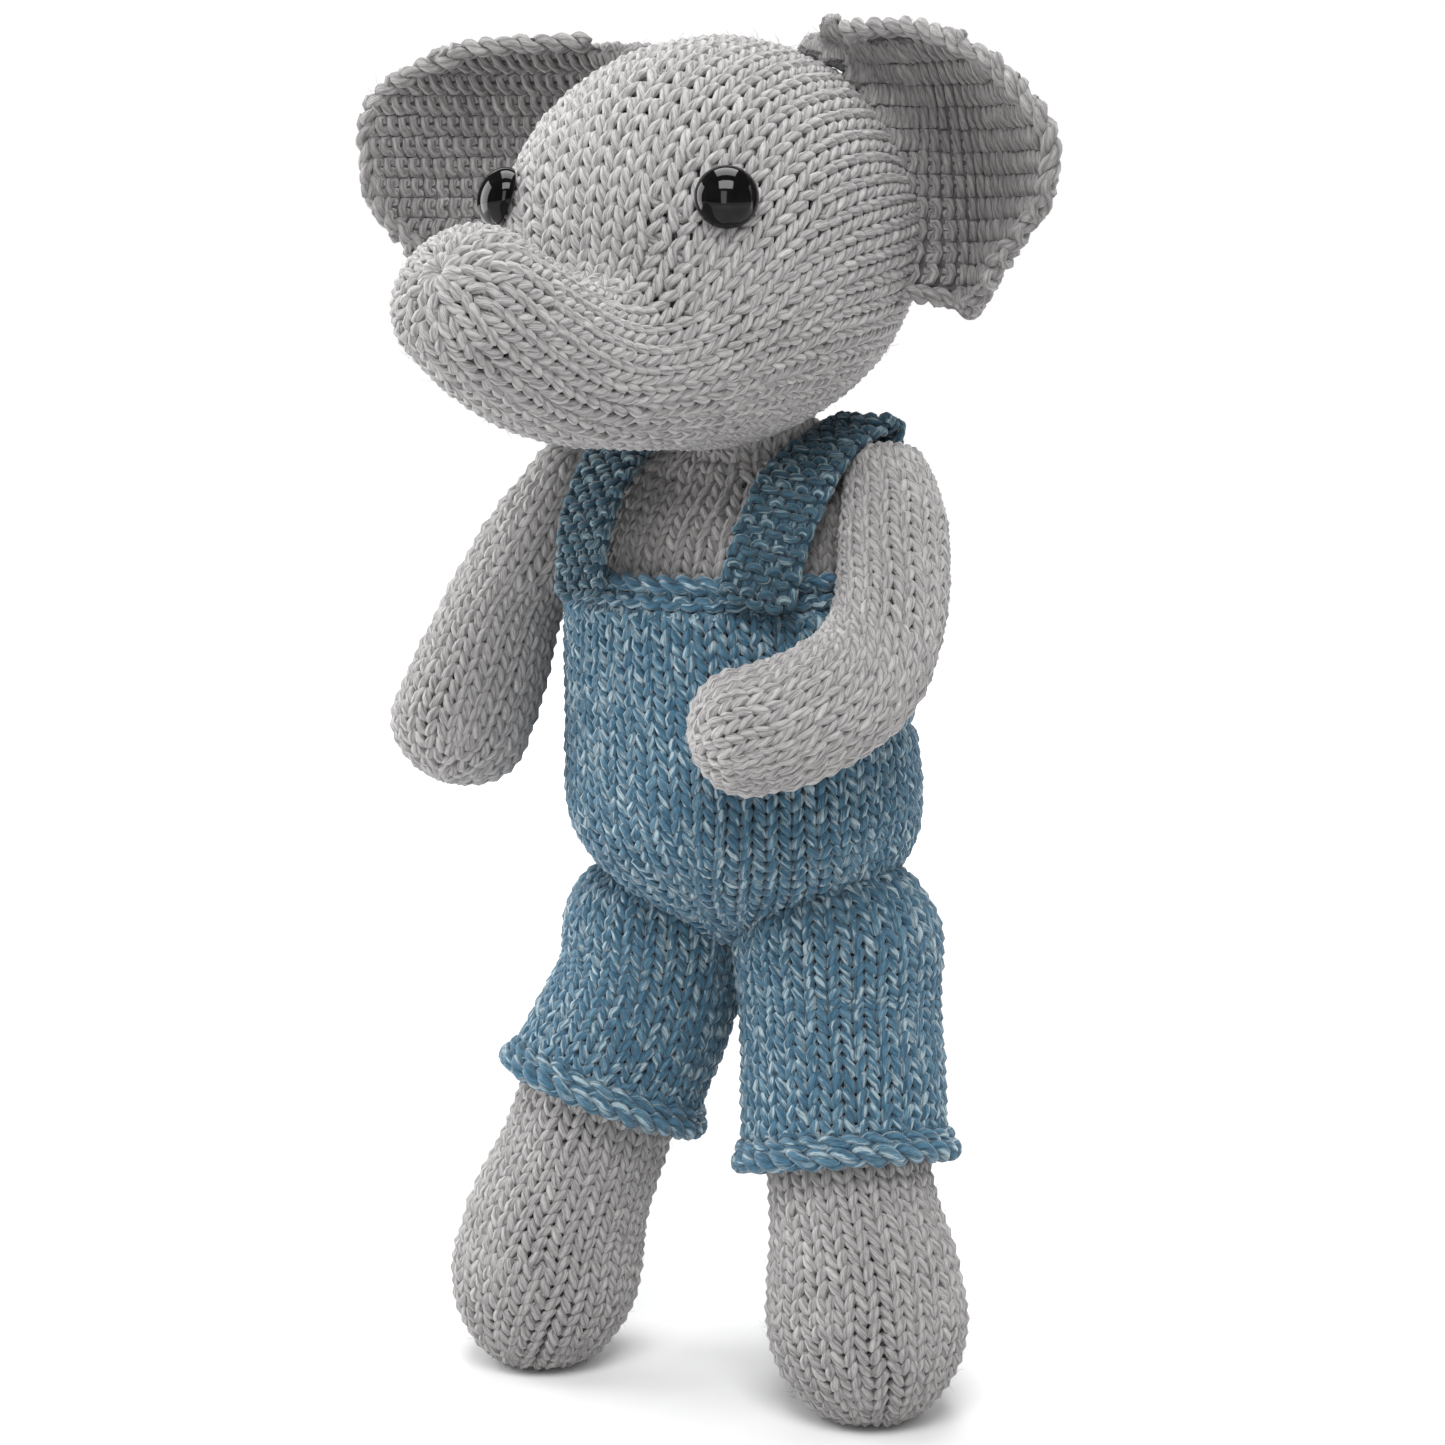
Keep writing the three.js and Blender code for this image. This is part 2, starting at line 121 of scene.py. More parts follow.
class Surface:
    """A grid of points P[v, u] with outward normals; u runs round, v along.

    v is measured in mm of mean length along the surface, u from 0 to 1.
    """

    def __init__(self, P, closed=True, flip=False, vmap=None):
        self.closed = closed
        d = np.linalg.norm(np.diff(P, axis=0), axis=2).mean(1)
        s = np.concatenate([[0], np.cumsum(d)])
        m = max(int(s[-1] / 0.6), 8)
        sv = np.linspace(0, s[-1], m + 1)
        idx = np.interp(sv, s, np.arange(len(s)))
        i0 = np.clip(idx.astype(int), 0, len(s) - 2)
        f = (idx - i0)[:, None, None]
        self.P = P[i0] * (1 - f) + P[i0 + 1] * f
        self.length = s[-1]
        self.finish(flip)

    def finish(self, flip=False):
        P = self.P
        if self.closed:
            du = np.roll(P, -1, 1) - np.roll(P, 1, 1)
        else:
            du = np.gradient(P, axis=1)
        dv = np.gradient(P, axis=0)
        n = np.cross(du, dv)
        self.N = unit(n) * (-1 if flip else 1)
        self.nv, self.nu = P.shape[:2]
        w = np.linalg.norm(np.diff(np.concatenate([P, P[:, :1]], 1) if self.closed else P, axis=1), axis=2)
        self.around = w.sum(1)

    def girth(self, v):
        return np.interp(v, np.linspace(0, self.length, self.nv), self.around)

    def at(self, u, v, lift=0.0):
        """Points (and normals) at u, v with a lift along the normal."""
        y = np.clip(np.asarray(v) / self.length, 0, 1) * (self.nv - 1)
        j = np.clip(y.astype(int), 0, self.nv - 2)
        fy = (y - j)[..., None]
        if self.closed:
            x = (np.asarray(u) % 1.0) * self.nu
            i = np.floor(x).astype(int)
            fx = (x - i)[..., None]
            i0, i1 = i % self.nu, (i + 1) % self.nu
        else:
            x = np.clip(u, 0, 1) * (self.nu - 1)
            i0 = np.clip(x.astype(int), 0, self.nu - 2)
            fx = (x - i0)[..., None]
            i1 = i0 + 1
        out = []
        for A in (self.P, self.N):
            a = A[j, i0] * (1 - fx) + A[j, i1] * fx
            b = A[j + 1, i0] * (1 - fx) + A[j + 1, i1] * fx
            out.append(a * (1 - fy) + b * fy)
        p, n = out[0], unit(out[1])
        return p + n * np.asarray(lift)[..., None], n


def loft(sec, ref, m=160, turn=0.0):
    """Grid of points round the sections; ref points along the half-axis a."""
    c, t, a, b = sec
    ref = np.asarray(ref, float)
    u = unit(ref - (t @ ref)[:, None] * t)
    v = np.cross(t, u)
    th = np.linspace(0, 2 * np.pi, m, endpoint=False) + turn
    return (c[:, None] + (a[:, None] * np.cos(th))[..., None] * u[:, None]
            + (b[:, None] * np.sin(th))[..., None] * v[:, None])


def about_z(P, deg):
    a = math.radians(deg)
    R = np.array([[math.cos(a), -math.sin(a), 0], [math.sin(a), math.cos(a), 0], [0, 0, 1]])
    return P @ R.T


# -------------------------------------------------------------------- yarn
class Mesh:
    """Collects tubes and grids for one object."""

    def __init__(self):
        self.v, self.f, self.uv, self.mat, self.strips, self.lines = [], [], [], [], [], []
        self.n = 0

    def grid(self, V, uv, closed_u, closed_v, mat, strip=None):
        """V: (m, k, 3) points; u wraps over k, v over m."""
        m, k = V.shape[:2]
        i = np.arange(m if closed_v else m - 1)
        j = np.arange(k if closed_u else k - 1)
        I, J = np.meshgrid(i, j, indexing="ij")
        a = self.n + I * k + J
        b = self.n + I * k + (J + 1) % k
        c = self.n + ((I + 1) % m) * k + (J + 1) % k
        d = self.n + ((I + 1) % m) * k + J
        self.f.append(np.stack([a, b, c, d], -1).reshape(-1, 4))
        U, W = uv  # per line values, one longer than the wrap
        ua, ub = U[I, J], U[I, J + 1]
        uc, ud = U[I + 1, J + 1], U[I + 1, J]
        wa, wb, wc, wd = W[I, J], W[I, J + 1], W[I + 1, J + 1], W[I + 1, J]
        self.uv.append(np.stack([np.stack([ua, ub, uc, ud], -1), np.stack([wa, wb, wc, wd], -1)], -1).reshape(-1, 2))
        self.mat.append(np.full(a.size, mat, np.int32))
        self.v.append(V.reshape(-1, 3))
        self.strips.append((I.ravel(), J.ravel(), len(i), len(j), float(np.ptp(W)) if strip is None else strip))
        self.n += m * k

    def tube(self, P, N, r, sides, closed, mat=0, start=0.0, twist=0.0):
        """A yarn along P with N across it; twist: turns of the plies a mm."""
        P = np.asarray(P, float)
        if closed:
            T = np.roll(P, -1, 0) - np.roll(P, 1, 0)
            step = np.linalg.norm(np.roll(P, -1, 0) - P, axis=1)
            s = np.concatenate([[0], np.cumsum(step)]) + start
        else:
            T = np.gradient(P, axis=0)
            s = np.concatenate([[0], np.cumsum(np.linalg.norm(np.diff(P, axis=0), axis=1))]) + start
        T = unit(T)
        B = unit(np.cross(T, N))
        M = np.cross(B, T)
        ph = np.linspace(0, 2 * np.pi, sides, endpoint=False) + np.pi
        r = np.broadcast_to(np.asarray(r, float), (len(P),))
        self.lines.append((P, M, T, r))
        V = P[:, None] + r[:, None, None] * (np.cos(ph)[None, :, None] * M[:, None] + np.sin(ph)[None, :, None] * B[:, None])
        if not closed:
            V = np.concatenate([P[:1, None].repeat(sides, 1) * 0.999 + V[:1] * 0.001, V,
                                P[-1:, None].repeat(sides, 1) * 0.999 + V[-1:] * 0.001])
            s = np.concatenate([[s[0]], s, [s[-1]]])
        U = np.arange(sides + 1)[None] / sides + (s * twist)[:, None]
        W = np.repeat(s[:, None], sides + 1, 1)
        self.grid(V, (U, W), True, closed, mat)

    def fuzz(self, share=0.10, mat=0, reach=1.0, r=0.032):
        """Loose fibres that stand off the yarn."""
        count = int(sum(len(q[0]) for q in self.lines) * share)
        P = np.concatenate([q[0] for q in self.lines])
        N = np.concatenate([q[1] for q in self.lines])
        T = np.concatenate([q[2] for q in self.lines])
        R = np.concatenate([q[3] for q in self.lines])
        k = RNG.integers(0, len(P), count)
        P, N, T, R = P[k], N[k], T[k], R[k]
        B = np.cross(T, N)
        a = RNG.normal(0, 0.55, count)[:, None]
        up = np.cos(a) * N + np.sin(a) * B
        c = RNG.uniform(0, 2 * np.pi, count)[:, None]
        along = np.cos(c) * T + np.sin(c) * np.cross(T, up)
        L = RNG.uniform(1.2, 3.4, count)[:, None]
        H = RNG.uniform(0.25, 1.0, count)[:, None] * reach
        bend = RNG.normal(0, 0.5, count)[:, None]
        root = P + up * (R[:, None] * 0.9)
        rings = []
        for t in (0.0, 0.3, 0.66, 1.0):
            rings.append(root + along * L * t + up * H * (1.6 * t - 0.6 * t * t) + np.cross(up, along) * bend * t * t)
        C = np.stack(rings, 1)  # count, 4, 3
        D = unit(np.gradient(C, axis=1))
        S = unit(np.cross(D, up[:, None]))
        Q = np.cross(S, D)
        w = np.array([0.3, 1.0, 0.8, 0.1])[None, :, None, None] * r
        ph = np.linspace(0, 2 * np.pi, 3, endpoint=False)
        V = C[:, :, None] + w * (np.cos(ph)[None, None, :, None] * S[:, :, None] + np.sin(ph)[None, None, :, None] * Q[:, :, None])
        base = self.n + np.arange(count)[:, None, None] * 12
        I, J = np.meshgrid(np.arange(3), np.arange(3), indexing="ij")
        I, J = I[None], J[None]
        f = [base + I * 3 + J, base + I * 3 + (J + 1) % 3, base + (I + 1) * 3 + (J + 1) % 3, base + (I + 1) * 3 + J]
        self.f.append(np.stack(f, -1).reshape(-1, 4))
        I, J = np.broadcast_to(I, (count, 3, 3)), np.broadcast_to(J, (count, 3, 3))
        o = RNG.uniform(0, 500, count)[:, None, None]
        u = np.stack([J, J + 1, J + 1, J], -1) * 0.03 + 0.11
        v = np.stack([I, I, I + 1, I + 1], -1) * 0.8 + o[..., None]
        self.uv.append(np.stack([u, v], -1).reshape(-1, 2))
        self.mat.append(np.full(count * 9, mat, np.int32))
        self.v.append(V.reshape(-1, 3))
        self.strips.append((I.ravel(), J.ravel(), 3, 3, 5.0))
        self.n += count * 12

    def layout(self):
        """Every yarn as level strips that fill the unit square."""
        cut = [max(int(round(abs(s[4]) / 150.0)), 1) if s[4] >= 0 else int(-s[4]) for s in self.strips]
        total = float(sum(cut))
        at, out = 0, []
        for (I, J, m, k, length), c in zip(self.strips, cut):
            if length < 0:  # a plain grid: one block
                x0, x1 = I / m, (I + 1) / m
                y0, y1 = (at + c * (J / k * 0.98 + 0.01)) / total, (at + c * ((J + 1) / k * 0.98 + 0.01)) / total
            else:
                seg = (I * c) // m
                x0, x1 = I * c / m - seg, np.minimum((I + 1) * c / m - seg, 1.0)
                y0, y1 = (at + seg + 0.06 + 0.88 * J / k) / total, (at + seg + 0.06 + 0.88 * (J + 1) / k) / total
            out.append(np.stack([np.stack([x0, x0, x1, x1], -1), np.stack([y0, y1, y1, y0], -1)], -1).reshape(-1, 2))
            at += c
        return np.concatenate(out)

    def make(self, name, materials, smooth=True, weld=False):
        me = bpy.data.meshes.new(name)
        V = (np.concatenate(self.v) + SHIFT) * MM
        F = np.concatenate(self.f)
        me.vertices.add(len(V))
        me.vertices.foreach_set("co", V.astype(np.float32).ravel())
        me.loops.add(F.size)
        me.loops.foreach_set("vertex_index", F.astype(np.int32).ravel())
        me.polygons.add(len(F))
        me.polygons.foreach_set("loop_start", np.arange(0, F.size, 4, dtype=np.int32))
        me.polygons.foreach_set("material_index", np.concatenate(self.mat))
        uv = me.uv_layers.new(name="yarn")
        uv.data.foreach_set("uv", np.concatenate(self.uv).astype(np.float32).ravel())
        flat = me.uv_layers.new(name="OFBake")
        flat.data.foreach_set("uv", self.layout().astype(np.float32).ravel())
        me.update()
        if weld:  # a closed sheet
            bm = bmesh.new()
            bm.from_mesh(me)
            bmesh.ops.remove_doubles(bm, verts=bm.verts, dist=2e-6)
            bmesh.ops.dissolve_degenerate(bm, dist=1e-7, edges=bm.edges)
            bmesh.ops.recalc_face_normals(bm, faces=bm.faces)
            bm.to_mesh(me)
            bm.free()
        me.validate()
        if smooth:
            me.shade_smooth()
        for m in materials:
            me.materials.append(m)
        o = bpy.data.objects.new(name, me)
        bpy.context.scene.collection.objects.link(o)
        return o


RNG = np.random.default_rng(20)


def wobble(n, amount, smooth=2, closed=True):
    """A smooth random sequence."""
    w = RNG.normal(0, 1, n)
    for _ in range(smooth):
        w = (np.roll(w, 1) + w * 2 + np.roll(w, -1)) / 4
    sd = w.std() if n > 3 else 1.0
    return amount * w / (sd + 1e-9)


def lay_row(surf, U, v0, h_up, h_dn, side, side_up, spec, closed=True, period=1.0):
    """Path of one row of loops.

    U: places of the loops round the surface. v grows towards the next row.
    """
    n, seg, b, a = len(U), spec["seg"], spec["b"], spec["a"]
    t = np.arange(n * seg) / seg  # in loops; 0 at a head
    if not closed:
        t = np.arange((n - 1) * seg + seg + 1) / seg - 0.5
    k = np.floor(t + 0.5).astype(int)
    ph = (t - k) * 2 * np.pi  # -pi..pi, 0 at the head
    Ue = np.concatenate([U[-2:] - period, U, U[:2] + period]) if closed else \
        np.concatenate([[2 * U[0] - U[1] - (U[1] - U[0]), 2 * U[0] - U[1]], U, [2 * U[-1] - U[-2], 2 * U[-1] - U[-2] + (U[-1] - U[-2])]])
    idx = np.arange(-2, n + 2)
    jit = spec.get("jit", 0.085)
    ja = 1 + RNG.normal(0, jit, n)
    jh = 1 + RNG.normal(0, jit * 0.7, n)
    kk = k % n if closed else np.clip(k, 0, n - 1)
    x = t + a * ja[kk] * np.sin(2 * ph)
    u = np.interp(x, idx, Ue)
    cy = np.cos(ph)
    v = v0 + np.where(cy > 0, h_up * jh[kk], h_dn) * cy
    s2, c2 = np.sin(ph) ** 2, np.cos(ph) ** 2
    if np.ndim(side):
        wrap = np.concatenate([side[-1:], side, side[:1]]) if closed else np.concatenate([side[:1], side, side[-1:]])
        side = side_up = np.interp(t, np.arange(-1, n + 1), wrap)
    z = np.where(cy > 0, side * s2 - side_up * c2, side * s2 - side * c2) * b
    foot = spec.get("foot", 1.0)
    if foot != 1.0:
        z = np.where((cy <= 0) & (z * side < 0), z * (s2 + (1 - s2) * foot), z)
    z = z + spec.get("jz", 0.10) * RNG.normal(0, 1, n)[kk] * s2
    fat = 1 + RNG.normal(0, 0.05, n)
    plump = spec["r"] * (0.90 + 0.14 * s2) * np.interp(t, np.arange(n), fat)
    return u, v, z, plump, ph


GREY_SPEC = dict(seg=12, sides=8, a=0.235, b=0.78, r=1.0, twist=0.06)


def knit(mesh, surf, rows, spec, closed=True, depth=None):
    """rows: dicts with U, v, up, dn, side, side_up."""
    depth = spec["b"] + spec["r"] if depth is None else depth
    start = 0.0
    for q in rows:
        sp = dict(spec, **q.get("spec", {}))
        u, v, z, r, ph = lay_row(surf, q["U"], q["v"], q["up"], q["dn"], q.get("side", 1), q.get("side_up", 1), sp, closed)
        if "vf" in q:
            v = v + q["vf"](u)
        p, nrm = surf.at(u, v, z - depth)
        k = q.get("rk", 1.0)
        mesh.tube(p, nrm, r * k, sp["sides"], closed, start=start, twist=sp["twist"])
        start += 137.0


def plan(surf, v0, v1, pitch, stitches, start_turn=0.0, relax=0.35, jitter=0.04, side=1):
    """Rows from v0 to v1. stitches: function of v giving the number of loops
    a row; where it changes, loops merge or split and then even out."""
    n_rows = max(int(round((v1 - v0) / pitch)), 2)
    step = (v1 - v0) / n_rows
    rows, U = [], None
    for i in range(n_rows):
        v = v0 + (i + 0.5) * step
        n = int(stitches(v))
        even = (np.arange(n) + 0.5) / n + start_turn
        if U is None:
            U = even + wobble(n, jitter / n)
        elif n == len(U):
            U = U + (even + wobble(n, jitter / n) - U) * relax
        else:
            src = np.arange(len(U))
            U = np.interp((np.arange(n) + 0.5) / n * len(U) - 0.5, np.concatenate([[-1], src, [len(U)]]),
                          np.concatenate([[U[-1] - 1], U, [U[0] + 1]]))
        rows.append(dict(U=U.copy(), v=v, up=0.79 * step, dn=0.79 * step, side=side, side_up=side))
    return rows, step


def lining(mesh, surf, v0, v1, lift, mat, nu=48, nv=None, shut=(False, False)):
    """The closed inner face of the fabric, seen between the loops; its dark colour is painted shade in the gaps
    between the loops.
    """
    nv = nv or max(int((v1 - v0) / 2.5), 4)
    u = np.arange(nu) / nu
    v = np.linspace(v0, v1, nv)
    p, _ = surf.at(np.tile(u, (nv, 1)), np.repeat(v[:, None], nu, 1), np.full((nv, nu), lift))
    if shut[0]:
        p = np.concatenate([p[:1].mean(1, keepdims=True).repeat(nu, 1), p])
    if shut[1]:
        p = np.concatenate([p, p[-1:].mean(1, keepdims=True).repeat(nu, 1)])
    m = len(p)
    U = np.repeat((np.arange(nu + 1) / nu * 40)[None], m + 1, 0)
    W = np.repeat((np.arange(m + 1) * 2.0)[:, None], nu + 1, 1)
    mesh.grid(p, (U, W), True, False, mat, strip=-6)


# ------------------------------------------------------------ more yarn work
def share(U, n, turn):
    """The next row's places when the count changes: loops are knitted
    together, or made between two others, evenly round."""
    N = len(U)
    if n == N:
        return U.copy()
    k = abs(N - n)
    picks = ((np.arange(k) + turn) * N / k).astype(int) % N
    picks = set(int(p) for p in np.minimum(picks, N - 2))
    out, i = [], 0
    while i < N:
        if i in picks and n < N and i + 1 < N:
            out.append((U[i] + U[i + 1]) / 2)
            i += 2
            continue
        if i in picks and n > N:
            d = ((U[i + 1] if i + 1 < N else U[0] + 1) - U[i]) * 0.5
            out += [U[i], U[i] + d]
        else:
            out.append(U[i])
        i += 1
    out = np.array(out)
    if len(out) != n:
        out = np.interp((np.arange(n) + 0.5) / n * len(out) - 0.5, np.arange(len(out)), out)
    return out


def rounds(surf, v0, v1, pitch, gauge, steps, turn=0.0, relax=0.3, jitter=0.035, low=0):
    """Closed rows from v0 to v1 with the counts of steps nearest the gauge."""
    n_rows = max(int(round((v1 - v0) / pitch)), 2)
    step = (v1 - v0) / n_rows
    rows, U, n, base = [], None, None, 0.0
    steps = np.array(sorted(steps))
    for i in range(n_rows):
        v = v0 + (i + 0.5) * step
        want = surf.girth(v) / gauge
        best = int(steps[np.abs(np.log(steps / want)).argmin()])
        if n is None:
            n = best
            U = (np.arange(n) + 0.5) / n + turn
        else:
            if best != n and abs(math.log(want / n)) > 0.06:
                # no more than a third fewer or more in one row
                new = int(np.clip(best, math.ceil(n * 0.55), int(n * 1.6)))
                U = share(U, new, 0.37 * i % 1.0)
                n = new
            even = np.arange(n) / n
            even = even + (U - even).mean()
            U = U + (even - U) * relax + wobble(n, jitter / n * 0.5)
        rows.append(dict(U=U.copy(), v=v, up=0.79 * step, dn=0.79 * step, side=1, side_up=1))
    return rows, step


def rope(mesh, C, N, r, sep, pitch, closed, mat=0, sides=8, step=0.7, phase=0.0, twist=0.06):
    """Two yarns laid round each other along the points C."""
    C = np.asarray(C, float)
    if closed:
        C = np.vstack([C, C[:1]])
        N = np.vstack([N, N[:1]])
    s = np.concatenate([[0], np.cumsum(np.linalg.norm(np.diff(C, axis=0), axis=1))])
    n = max(int(s[-1] / step), 8)
    turns = max(round(s[-1] / pitch), 1) if closed else s[-1] / pitch
    q = np.linspace(0, s[-1], n + 1)
    c = np.stack([np.interp(q, s, C[:, k]) for k in range(3)], 1)
    nn = unit(np.stack([np.interp(q, s, N[:, k]) for k in range(3)], 1))
    t = unit(np.gradient(c, axis=0))
    b = unit(np.cross(t, nn))
    nn = np.cross(b, t)
    for k in range(2):
        a = q / s[-1] * turns * 2 * np.pi + k * np.pi + phase
        w = 1 + 0.12 * np.sin(a * 0.37 + k)
        p = c + sep * w[:, None] * (np.cos(a)[:, None] * nn + np.sin(a)[:, None] * b)
        rr = r * (1 + 0.06 * np.sin(a * 2.3 + k * 2))
        if closed:
            mesh.tube(p[:-1], nn[:-1], rr[:-1], sides, True, mat, start=900.0 * k, twist=twist)
        else:
            mesh.tube(p, nn, rr, sides, False, mat, start=900.0 * k, twist=twist)


def box_grid(mesh, A, B, mat, scale=1.0):
    """A closed thin sheet between two open grids A and B of the same shape."""
    V = np.concatenate([A, B[:, ::-1]], 1)
    V = np.concatenate([V[:1] * 0.998 + V[:1].mean(1, keepdims=True) * 0.002, V])
    ends = [V[:1].copy(), V[-1:].copy()]
    # pinch the two ends shut
    k = A.shape[1]
    for e in ends:
        m = (e[:, :k] + e[:, k:][:, ::-1]) / 2
        e[:, :k] = m
        e[:, k:] = m[:, ::-1]
    V = np.concatenate([ends[0], V, ends[1]])
    m, kk = V.shape[:2]
    U = np.repeat((np.arange(kk + 1) * 0.2)[None], m + 1, 0)
    W = np.repeat((np.arange(m + 1) * 2.0)[:, None], kk + 1, 1)
    mesh.grid(V, (U, W), True, False, mat, strip=-6)


# --------------------------------------------------------------- materials
def nodes_of(name):
    m = bpy.data.materials.new(name)
    m.use_nodes = True
    nt = m.node_tree
    nt.nodes.clear()
    out = nt.nodes.new("ShaderNodeOutputMaterial")
    b = nt.nodes.new("ShaderNodeBsdfPrincipled")
    nt.links.new(b.outputs[0], out.inputs[0])
    return m, nt, b


def math_node(nt, op, a, b=None, c=None, clamp=False):
    n = nt.nodes.new("ShaderNodeMath")
    n.operation = op
    n.use_clamp = clamp
    for i, x in enumerate((a, b, c)):
        if x is None:
            continue
        if hasattr(x, "is_linked"):
            nt.links.new(x, n.inputs[i])
        else:
            n.inputs[i].default_value = x
    return n.outputs[0]


def mix_node(nt, f, a, b, kind="MIX"):
    n = nt.nodes.new("ShaderNodeMix")
    n.data_type = "RGBA"
    n.blend_type = kind
    if hasattr(f, "is_linked"):
        nt.links.new(f, n.inputs[0])
    else:
        n.inputs[0].default_value = f
    for i, x in ((6, a), (7, b)):
        if hasattr(x, "is_linked"):
            nt.links.new(x, n.inputs[i])
        else:
            n.inputs[i].default_value = (*x, 1)
    return n.outputs[2]


def noise_node(nt, vec, scale, detail=2.0, rough=0.5, dims="3D"):
    n = nt.nodes.new("ShaderNodeTexNoise")
    n.noise_dimensions = dims
    n.inputs["Scale"].default_value = scale
    n.inputs["Detail"].default_value = detail
    n.inputs["Roughness"].default_value = rough
    nt.links.new(vec, n.inputs["Vector"])
    return n.outputs[0]


def ramp_node(nt, f, lo, hi, smooth=True):
    n = nt.nodes.new("ShaderNodeMapRange")
    n.interpolation_type = "SMOOTHSTEP" if smooth else "LINEAR"
    nt.links.new(f, n.inputs["Value"])
    n.inputs["From Min"].default_value = lo
    n.inputs["From Max"].default_value = hi
    return n.outputs[0]


def vector_node(nt, x, y, z=0.0):
    n = nt.nodes.new("ShaderNodeCombineXYZ")
    for i, q in enumerate((x, y, z)):
        if hasattr(q, "is_linked"):
            nt.links.new(q, n.inputs[i])
        else:
            n.inputs[i].default_value = q
    return n.outputs[0]


def yarn_material(name, dark, mid, light, fleck=None, fleck_share=0.6, plies=4, bump=0.55):
    """Wool yarn: twisted plies with fine fibres, from the UV layer that runs
    along the yarn in mm and round it in turns."""
    m, nt, b = nodes_of(name)
    uv = nt.nodes.new("ShaderNodeUVMap")
    uv.uv_map = "yarn"
    sep = nt.nodes.new("ShaderNodeSeparateXYZ")
    nt.links.new(uv.outputs[0], sep.inputs[0])
    U, V = sep.outputs[0], sep.outputs[1]
    f = math_node(nt, "FRACT", math_node(nt, "MULTIPLY", U, float(plies)))
    g = math_node(nt, "SUBTRACT", math_node(nt, "MULTIPLY", f, 2.0), 1.0)
    lobe = math_node(nt, "SUBTRACT", 1.0, math_node(nt, "MULTIPLY", g, g))  # 0 in the groove
    fib = noise_node(nt, vector_node(nt, math_node(nt, "MULTIPLY", U, 26.0), math_node(nt, "MULTIPLY", V, 0.55)), 1.0, 3.0, 0.6)
    fine = noise_node(nt, vector_node(nt, math_node(nt, "MULTIPLY", U, 60.0), math_node(nt, "MULTIPLY", V, 1.1), 4.0), 1.0, 2.0, 0.6)
    tone = noise_node(nt, vector_node(nt, math_node(nt, "MULTIPLY", U, 1.6), math_node(nt, "MULTIPLY", V, 0.12), 9.0), 1.0, 2.0, 0.5)
    c = mix_node(nt, ramp_node(nt, fib, 0.30, 0.62), dark, mid)
    c = mix_node(nt, ramp_node(nt, math_node(nt, "MULTIPLY_ADD", fine, 0.5, math_node(nt, "MULTIPLY", tone, 0.5)), 0.48, 0.74), c, light)
    if fleck is not None:
        fl = noise_node(nt, vector_node(nt, math_node(nt, "MULTIPLY", U, 5.0), math_node(nt, "MULTIPLY", V, 0.24), 17.0), 1.0, 2.0, 0.5)
        fl = math_node(nt, "MULTIPLY", ramp_node(nt, fl, fleck_share, fleck_share + 0.12), ramp_node(nt, fib, 0.30, 0.55))
        c = mix_node(nt, fl, c, fleck)
    # painted shade: the colour is darkened in the grooves between the plies, from the same lobes that drive the bump
    shade = math_node(nt, "MULTIPLY_ADD", math_node(nt, "POWER", lobe, 0.7), 0.52, 0.48)
    dim = nt.nodes.new("ShaderNodeCombineXYZ")
    for i in range(3):
        nt.links.new(shade, dim.inputs[i])
    c = mix_node(nt, 1.0, c, dim.outputs[0], "MULTIPLY")
    nt.links.new(c, b.inputs["Base Color"])
    b.inputs["Roughness"].default_value = 0.88
    b.inputs["Specular IOR Level"].default_value = 0.18
    b.inputs["Sheen Weight"].default_value = 0.22
    b.inputs["Sheen Roughness"].default_value = 0.55
    h = math_node(nt, "ADD", math_node(nt, "MULTIPLY", math_node(nt, "POWER", lobe, 0.5), 0.7),
                  math_node(nt, "ADD", math_node(nt, "MULTIPLY", fib, 0.35), math_node(nt, "MULTIPLY", fine, 0.22)))
    bp = nt.nodes.new("ShaderNodeBump")
    bp.inputs["Strength"].default_value = bump
    bp.inputs["Distance"].default_value = 0.00028
    nt.links.new(h, bp.inputs["Height"])
    nt.links.new(bp.outputs[0], b.inputs["Normal"])
    return m


def plain_material(name, a, c, scale, rough, bump=0.3, dist=0.0003, sheen=0.0, detail=4.0, stretch=(1, 1, 1)):
    m, nt, b = nodes_of(name)
    tc = nt.nodes.new("ShaderNodeTexCoord")
    mp = nt.nodes.new("ShaderNodeMapping")
    mp.inputs["Scale"].default_value = stretch
    nt.links.new(tc.outputs["Object"], mp.inputs["Vector"])
    n = noise_node(nt, mp.outputs[0], scale, detail, 0.6)
    nt.links.new(mix_node(nt, ramp_node(nt, n, 0.3, 0.7), a, c), b.inputs["Base Color"])
    b.inputs["Roughness"].default_value = rough
    b.inputs["Sheen Weight"].default_value = sheen
    bp = nt.nodes.new("ShaderNodeBump")
    bp.inputs["Strength"].default_value = bump
    bp.inputs["Distance"].default_value = dist
    nt.links.new(n, bp.inputs["Height"])
    nt.links.new(bp.outputs[0], b.inputs["Normal"])
    return m


GREY = yarn_material("grey_wool", (0.18, 0.173, 0.175), (0.375, 0.364, 0.362), (0.55, 0.54, 0.53))
# a darker copy of grey_wool for the ears: painted shade
GREY_EAR_SHADE = yarn_material("grey_wool_purl_painted_shade", (0.125, 0.12, 0.121), (0.26, 0.252, 0.25), (0.42, 0.41, 0.40))
BLUE = yarn_material("blue_wool", (0.022, 0.064, 0.106), (0.056, 0.148, 0.226), (0.17, 0.30, 0.375), (0.33, 0.42, 0.46), 0.505)
# a darker copy of blue_wool for the straps: painted shade
BLUE_STRAP_SHADE = yarn_material("blue_wool_garter_painted_shade", (0.013, 0.036, 0.058), (0.034, 0.090, 0.132), (0.085, 0.175, 0.225), (0.22, 0.30, 0.33), 0.52)
